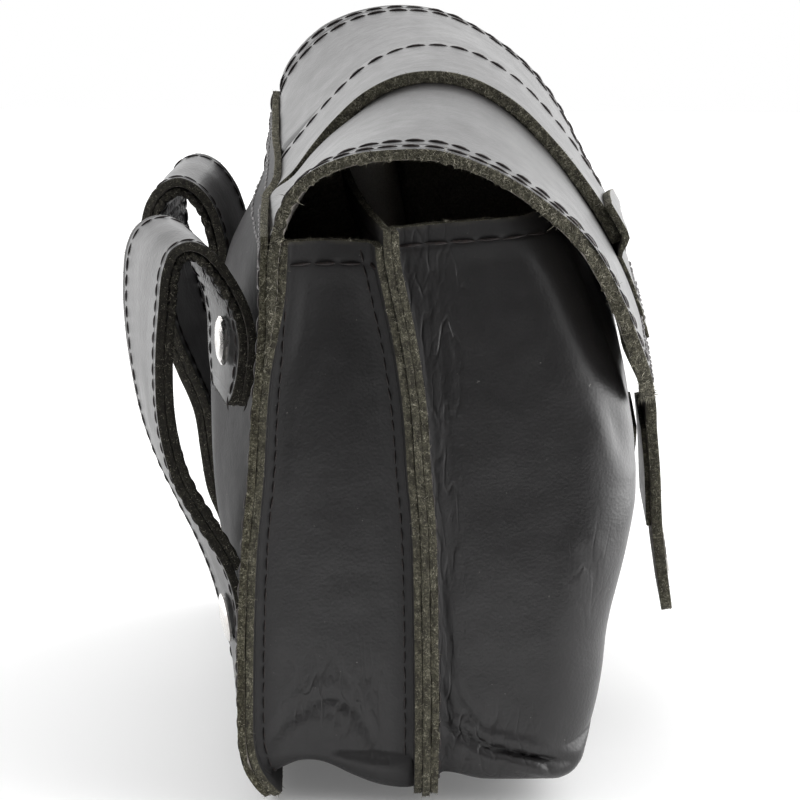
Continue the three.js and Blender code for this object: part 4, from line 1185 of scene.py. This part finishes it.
# %% The node group that sews
TILT_SHIFT, SIZE_SHIFT = 0, 100
sewing = Group("sewing", Stitch="Object", Step="Float", Size="Float", Seed="Int",
               Material="Material")
line = sewing.node("GeometryNodeMeshToCurve", Mesh=sewing.given["Geometry"])
line = sewing.node("GeometryNodeResampleCurve", dict(mode="LENGTH"), Curve=line,
                   Length=sewing.given["Step"])
away = sewing.node("GeometryNodeInputNamedAttribute", dict(data_type="FLOAT_VECTOR"), Name="away")
along = sewing.node("GeometryNodeInputTangent")
turned = sewing.node("FunctionNodeAxesToRotation", dict(primary_axis="Z", secondary_axis="X"),
                     Primary_Axis=away, Secondary_Axis=along)
tilt = random_vector(sewing, (-0.2, -0.04, -0.09), (0.2, 0.04, 0.09), TILT_SHIFT)
turned = sewing.node("FunctionNodeRotateRotation", dict(rotation_space="LOCAL"), Rotation=turned,
                     Rotate_By=sewing.node("FunctionNodeEulerToRotation", Euler=tilt))
size = random_vector(sewing, (0.9, 0.85, 0.85), (1.08, 1.15, 1.15), SIZE_SHIFT)
size = sewing.node("ShaderNodeVectorMath", dict(operation="SCALE"), Vector=size,
                   Scale=sewing.given["Size"])
shape = sewing.node("GeometryNodeObjectInfo", Object=sewing.given["Stitch"], output=4)
sewing.end(sewing.node("GeometryNodeInstanceOnPoints", Points=line, Instance=shape, Rotation=turned,
                       Scale=size))

# %% [markdown]
# A sewing line is only roughly known from the pattern. The leather under it bends and sags, so each
# point of the line is moved to the nearest place on its sheet and takes the direction away from it.

# %% Sewing lines on the leather
OFF = 0.8  # how far off the leather a rough line runs, mm
LINE_STEP = 1.25  # distance between the places that are moved to the leather, mm
sewn = {}


def sew(name, sheet_name, rows, seed, size=1.0, proud=0.0):
    """One piece of stitches along rows of rough points, given in the tables' millimetres."""
    tree = BVHTree.FromObject(sheets[sheet_name], bpy.context.evaluated_depsgraph_get())
    spots, away, edges = [], [], []
    for row in rows:
        first = len(spots)
        steps = np.r_[0, np.cumsum(np.linalg.norm(np.diff(row, axis=0), axis=1))]
        walk = np.linspace(0, steps[-1], max(int(steps[-1] / LINE_STEP), 2))
        for place in in_place(np.stack([np.interp(walk, steps, axis) for axis in row.T], axis=1)):
            spot, normal, _, _ = tree.find_nearest(Vector(place))
            outward = Vector(place) - spot
            if outward.dot(normal) < 0 or outward.length < 1e-4:
                outward = normal
            spots.append((spot + outward.normalized() * proud * MM)[:])
            away.append(outward[:])
        edges += [(k, k + 1) for k in range(first, len(spots) - 1)]
    away = unit(np.array(away))
    mesh = bpy.data.meshes.new(name)
    mesh.from_pydata(spots, edges, [])
    mesh.attributes.new("away", "FLOAT_VECTOR", "POINT").data.foreach_set("vector", away.ravel())
    piece = bpy.data.objects.new(name, mesh)
    scene.collection.objects.link(piece)
    count = sewing.bake(piece, Stitch=stitch, Step=STITCH_STEP * MM * size, Size=size, Seed=seed,
                        Material=black_thread) // len(stitch_mesh.polygons)
    piece.data.shade_smooth()
    sewn[name] = piece
    print(f"{name}: {count} stitches")


# %% Stitches on the flap, its strap and its patch
def flap_row(x, run, lift=1.0):
    """A row of places over the flap, one for each pair of an x and a run."""
    return np.array([over_flap(a, b, lift)[0] for a, b in zip(x, run)])


rows = []
turn = np.linspace(0, math.pi / 2, 7)
for inset_by in FLAP_ROWS:
    half, radius, end = FLAP_WIDTH / 2 - inset_by, FLAP_CORNER - inset_by, FLAP_END - inset_by
    side_runs = np.linspace(3, end - radius, 30)
    x = np.concatenate([side_runs * 0 + half, half - radius + radius * np.cos(turn[1:]),
                        np.linspace(half - radius, 23, 14)[1:]])
    run = np.concatenate([side_runs, end - radius + radius * np.sin(turn[1:]), np.full(13, end)])
    rows += [flap_row(-x, run), flap_row(x, run)]
sew("flap_stitches", "flap_leather", rows, 1)
runs = np.linspace(-12, STRAP_END - 8, 40)
sew("strap_stitches", "flap_strap_leather",
    [flap_row(runs * 0 + STRAP_WIDTH / 2 - 5, runs, FLAP_STRAP + 1)], 2)
x = np.linspace(-18.5, 18.5, 16)
sew("patch_stitches", "flap_patch_leather",
    [flap_row(x, x * 0 + run, FLAP_PATCH + 1.6) for run in CROSS_ROWS], 3)

# %% Stitches on the belt loops
LOOP_SIDES, LOOP_STITCH = (-12, 12), 0.72  # places of the two rows, and how small their stitches are
for seed, (name, (line, x)) in enumerate(loops.items()):
    runs = np.linspace(5, line.length - 3, 60)
    inner = np.linspace(line.run_where(2, LINING_START, 0, line.length / 2) + 3, line.length - 3, 60)
    rows = [on_loop(line, x, side, runs, OFF) for side in LOOP_SIDES]
    rows.append(on_loop(line, x, np.linspace(-11, 11, 8), 14.5, OFF))
    sew(f"belt_loop_{name}_stitches", f"belt_loop_{name}_leather", rows, 4 + seed, LOOP_STITCH)
    rows = [on_loop(line, x, side, inner, LINING_LIFT - STRAP / 2 - OFF) for side in LOOP_SIDES]
    sew(f"loop_lining_{name}_stitches", f"loop_lining_{name}_leather", rows, 6 + seed, LOOP_STITCH)

# %% [markdown]
# The hems of the gusset and the pocket are turned in and sewn with a slightly longer stitch, which
# stands a little proud of the soft edge.

# %% Stitches of the hems
HEM_STITCH, HEM_PROUD = 1.1, 0.16
hem = GUSSET_HEIGHT - 5
rows = []
for side_sign in (-1, 1):
    x = side_sign * (WIDTH / 2 - SEAM + 2.6)
    rows.append(points(x, np.linspace(back_y(x, hem) - 3.4, divider_y(x, hem) + 3.4, 14), hem))
sew("gusset_hem_stitches", "rear_gusset_leather", rows, 8, HEM_STITCH, HEM_PROUD)

stations = outline(POCKET_HEIGHT, POCKET_STEP)
hem_row = int(np.argmin(np.abs(stations[:len(stations) // 2, 1] - (POCKET_HEIGHT - 4.4))))
outer = sink(pocket, np.full(pocket.shape[:2], BODY / 2 + OFF), pocket_center)
rows = [outer[station, 12:-1] for station in (hem_row, -1 - hem_row)]
sew("pocket_hem_stitches", "front_pocket_leather", rows, 9, HEM_STITCH, HEM_PROUD)


# %% Stitches of the seams
def seam_row(surface, inset_by, shift):
    """A row round the U of a seam, shifted in y from the middle of a panel's leather."""
    row = inset(outline(GUSSET_HEIGHT - 3, 2.0), inset_by, 0)[:, 0]
    return points(row[:, 0], surface(row[:, 0], row[:, 2]) + shift, row[:, 2])


ON_FLANGE, IN_CORNER = 3.8, 5.3  # insets of a row on a flange, and of one beside the wall
next_layer = BODY + TIGHT + BODY / 2  # from the middle of one layer to the outside of the next
sew("back_seam_stitches", "back_panel_leather",
    [seam_row(back_y, ON_FLANGE, BODY / 2 + OFF)], 10)
sew("gusset_seam_stitches", "rear_gusset_leather",
    [seam_row(back_y, IN_CORNER, -next_layer - 2.1), seam_row(divider_y, IN_CORNER, next_layer + 2.1)],
    11, 0.7)
sew("pocket_seam_stitches", "front_pocket_leather",
    [seam_row(divider_y, ON_FLANGE, -next_layer - OFF)], 12)

# %% Stitches of the back panel
x = np.linspace(-84, 84, 60)
rows = [points(x, back_y(x, HEIGHT - low) + BODY / 2 + OFF, HEIGHT - low) for low in (4, 9)]
z = np.linspace(14, HEIGHT - 12, 40)
rows += [points(x_line, back_y(x_line + 0 * z, z) + BODY / 2 + OFF, z) for x_line in (-52, 52)]
sew("back_panel_stitches", "back_panel_leather", rows, 13)
for piece in sewn.values():
    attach(piece, "root")

# %% [markdown]
# ## Loose fibres
#
# Vegetable-tanned leather is a felt of fibres. Where a knife has cut it, short ends stand out of the
# edge, and a few long ones curl away where the edge has been rubbed. One tapered, bent fibre is
# scattered over the raw faces of each sheet that the light catches. The seed is fixed.

# %% One fibre
t = np.array([0, 0.55, 1])
turn = np.linspace(0, 2 * math.pi, 3, endpoint=False)
thin = 0.07 * (1 - 0.85 * t)[:, None]
rings = points(0.35 * t[:, None]**2 + thin * np.cos(turn), thin * np.sin(turn), t[:, None])
ids = np.arange(9).reshape(3, 3)
after = np.roll(ids, -1, axis=1)
quads = np.stack([ids[:-1], after[:-1], after[1:], ids[1:]], axis=-1).reshape(-1, 4)
fibre_mesh = bpy.data.meshes.new("fibre")
fibre_mesh.from_pydata((rings.reshape(-1, 3) * MM).tolist(), [],
                       quads.tolist() + [ids[0][::-1].tolist(), ids[-1].tolist()])
fibre = bpy.data.objects.new("fibre", fibre_mesh)

# %% The node group that scatters fibres
TURN_SHIFT, LOT_SHIFT = 20, 40
SHORTEST, RARITY = 0.42, 7  # length of a common fibre in mm, and how rare the long ones are
beard = Group("beard", Fibre="Object", Density="Float", Longest="Float", Seed="Int",
              Material="Material")
spread = beard.node("GeometryNodeDistributePointsOnFaces", Mesh=beard.given["Geometry"],
                    Density=beard.given["Density"], Seed=beard.given["Seed"])
facing = spread.node.outputs["Rotation"]
tilt = random_vector(beard, (-1.3, -1.3, -3.1), (1.3, 1.3, 3.1), TURN_SHIFT)
facing = beard.node("FunctionNodeRotateRotation", dict(rotation_space="LOCAL"), Rotation=facing,
                    Rotate_By=beard.node("FunctionNodeEulerToRotation", Euler=tilt))
lot = random_vector(beard, (0, 0, 0), (1, 1, 1), LOT_SHIFT)
lot = beard.node("ShaderNodeSeparateXYZ", Vector=lot)
rare = beard.node("ShaderNodeMath", dict(operation="POWER"), Value=lot)
rare.node.inputs[1].default_value = RARITY
reach = beard.node("ShaderNodeMath", dict(operation="MULTIPLY_ADD"), Value=rare)
beard.tree.links.new(beard.given["Longest"], reach.node.inputs[1])
reach.node.inputs[2].default_value = SHORTEST
shape = beard.node("GeometryNodeObjectInfo", Object=beard.given["Fibre"], output=4)
stretch = beard.node("ShaderNodeCombineXYZ", X=reach, Y=1.0, Z=reach)
beard.end(beard.node("GeometryNodeInstanceOnPoints", Points=spread, Instance=shape, Rotation=facing,
                     Scale=stretch))


# %% Fibres on the raw edges
def grow(sheet_name, seed, per_mm2, longest, x_limit):
    """Fibres on a sheet's cut edge, up to an x in millimetres."""
    source = sheets[sheet_name].data
    raw = np.empty(len(source.vertices))
    source.attributes["raw"].data.foreach_get("value", raw)
    spots = np.empty(3 * len(source.vertices))
    source.vertices.foreach_get("co", spots)
    spots = spots.reshape(-1, 3)
    faces = [face.vertices[:] for face in source.polygons
             if all(raw[k] > 0.5 and spots[k, 0] < x_limit * MM for k in face.vertices)]
    used = sorted({k for face in faces for k in face})
    new = {k: place for place, k in enumerate(used)}
    mesh = bpy.data.meshes.new(sheet_name)
    mesh.from_pydata(spots[used].tolist(), [], [[new[k] for k in face] for face in faces])
    name = sheet_name.replace("_leather", "_fibres")
    piece = bpy.data.objects.new(name, mesh)
    scene.collection.objects.link(piece)
    count = beard.bake(piece, Fibre=fibre, Density=per_mm2 / MM**2, Longest=longest, Seed=seed,
                       Material=loose_fibre) // len(fibre_mesh.polygons)
    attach(piece, "root")
    print(f"{name}: {count} fibres")


NEAR_END, MIDDLE, ALL = -60, 0, 100  # how far along x the fibres grow, mm
for seed, (name, per_mm2, longest, x_limit) in enumerate((
        ("flap", 6, 1.6, NEAR_END), ("flap_strap", 3, 0.8, MIDDLE), ("flap_patch", 3, 0.8, MIDDLE),
        ("back_panel", 1.9, 0.7, ALL), ("rear_gusset", 1.9, 0.9, ALL), ("divider", 1.9, 0.9, ALL),
        ("front_pocket", 1.9, 1.0, ALL), ("closure_tab", 2.5, 0.6, ALL),
        ("belt_loop_left", 1.6, 0.4, ALL), ("loop_lining_left", 2.4, 1.0, ALL),
        ("belt_loop_right", 1.6, 0.4, ALL), ("loop_lining_right", 1.6, 1.0, ALL))):
    grow(name + "_leather", 50 + seed, per_mm2, longest, x_limit)

# %% [markdown]
# ## Floor, light and camera
#
# The bag stands on a sheet of white paper. A wide floor would light the underside of everything and
# fill the leather with its reflection, so the paper is only a little larger than the bag.

# %% Floor
floor_z = min(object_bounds()[0].z, 0)
floor_mesh = bpy.data.meshes.new("floor")
corners = ((-0.26, -0.24), (0.7, -0.24), (0.7, 0.24), (-0.26, 0.24))  # a sheet of paper, metres
floor_mesh.from_pydata([(x, y, floor_z) for x, y in corners], [], [(0, 1, 2, 3)])
floor = bpy.data.objects.new("floor", floor_mesh)
scene.collection.objects.link(floor)
look = Finish("floor")
FLOOR_GLOW = 0.12  # keeps the paper white where the bag's own shade falls on it
floor_mesh.materials.append(look.finish(Base_Color=(0.9, 0.9, 0.9, 1), Roughness=0.8,
                                        Emission_Color=(1, 1, 1, 1), Emission_Strength=FLOOR_GLOW))

# %% [markdown]
# The bag is seen from its end with a long lens, so its far end is nearly as large as the near one.
# The camera's axes are worked out from two angles and a small roll.

# %% Camera
ELEVATION, YAW, ROLL = (math.radians(angle) for angle in (13.836, -0.720, 0.378))
AIM, DISTANCE, LENS = Vector(in_place(np.array([-90, 0.205, 92.324]))), 1.416, 292.54
forward = Vector((math.cos(ELEVATION) * math.cos(YAW), math.cos(ELEVATION) * math.sin(YAW),
                  -math.sin(ELEVATION)))
level = Vector((math.sin(YAW), -math.cos(YAW), 0))
upright = level.cross(forward)
sideways = level * math.cos(ROLL) + upright * math.sin(ROLL)
upwards = upright * math.cos(ROLL) - level * math.sin(ROLL)
camera_data = bpy.data.cameras.new("camera")
camera_data.lens, camera_data.sensor_width, camera_data.clip_end = LENS, 36, 50
camera = bpy.data.objects.new("camera", camera_data)
scene.collection.objects.link(camera)
turn = Matrix((sideways, upwards, -forward)).transposed()
camera.matrix_world = Matrix.Translation(AIM - forward * DISTANCE) @ turn.to_4x4()
scene.camera = camera
print("the camera stands", round(camera.location.length, 2), "m from the bag")

# %% [markdown]
# The light is a white room, bright beyond the bag and dim behind the camera, with a soft box at each
# side. Black leather shows little of its own colour: the end walls mirror the dim side and stay dark,
# and the flap, seen at a low angle, mirrors the bright side.

# %% Light
DIM, BRIGHT, OVERHEAD = 0.14, 1.65, 0.4  # the whole room, its far side and its ceiling
RIGHT, LEFT = 4.5, 1.7  # the soft boxes
world = bpy.data.worlds.new("studio")
world.use_nodes = True
scene.world = world
sky = world.node_tree
dim_room = sky.nodes["Background"]
white = sky.nodes.new("ShaderNodeBackground")
split = sky.nodes.new("ShaderNodeSeparateXYZ")
sky.links.new(sky.nodes.new("ShaderNodeTexCoord").outputs["Generated"], split.inputs[0])
beyond, beside, up = (Field(sky, split.outputs[axis]) for axis in "XYZ")
boxes = RIGHT * beside.rise(-0.45, -0.95) * beyond.rise(-0.95, -0.2)
boxes = boxes + LEFT * beside.rise(0.4, 0.9) * beyond.rise(-0.75, -0.1)
plug(sky, DIM + BRIGHT * beyond.rise(-0.35, 0.75) ** 1.4 + OVERHEAD * up.rise(0.1, 1) + boxes,
     dim_room.inputs["Strength"])
dim_room.inputs["Color"].default_value = (1, 1, 1, 1)
white.inputs["Color"].default_value = (1, 1, 1, 1)
either = sky.nodes.new("ShaderNodeMixShader")
path = sky.nodes.new("ShaderNodeLightPath")
sky.links.new(path.outputs["Is Camera Ray"], either.inputs[0])
sky.links.new(dim_room.outputs[0], either.inputs[1])
sky.links.new(white.outputs[0], either.inputs[2])
sky.links.new(either.outputs[0], sky.nodes["World Output"].inputs["Surface"])
scene.view_settings.view_transform = "Standard"
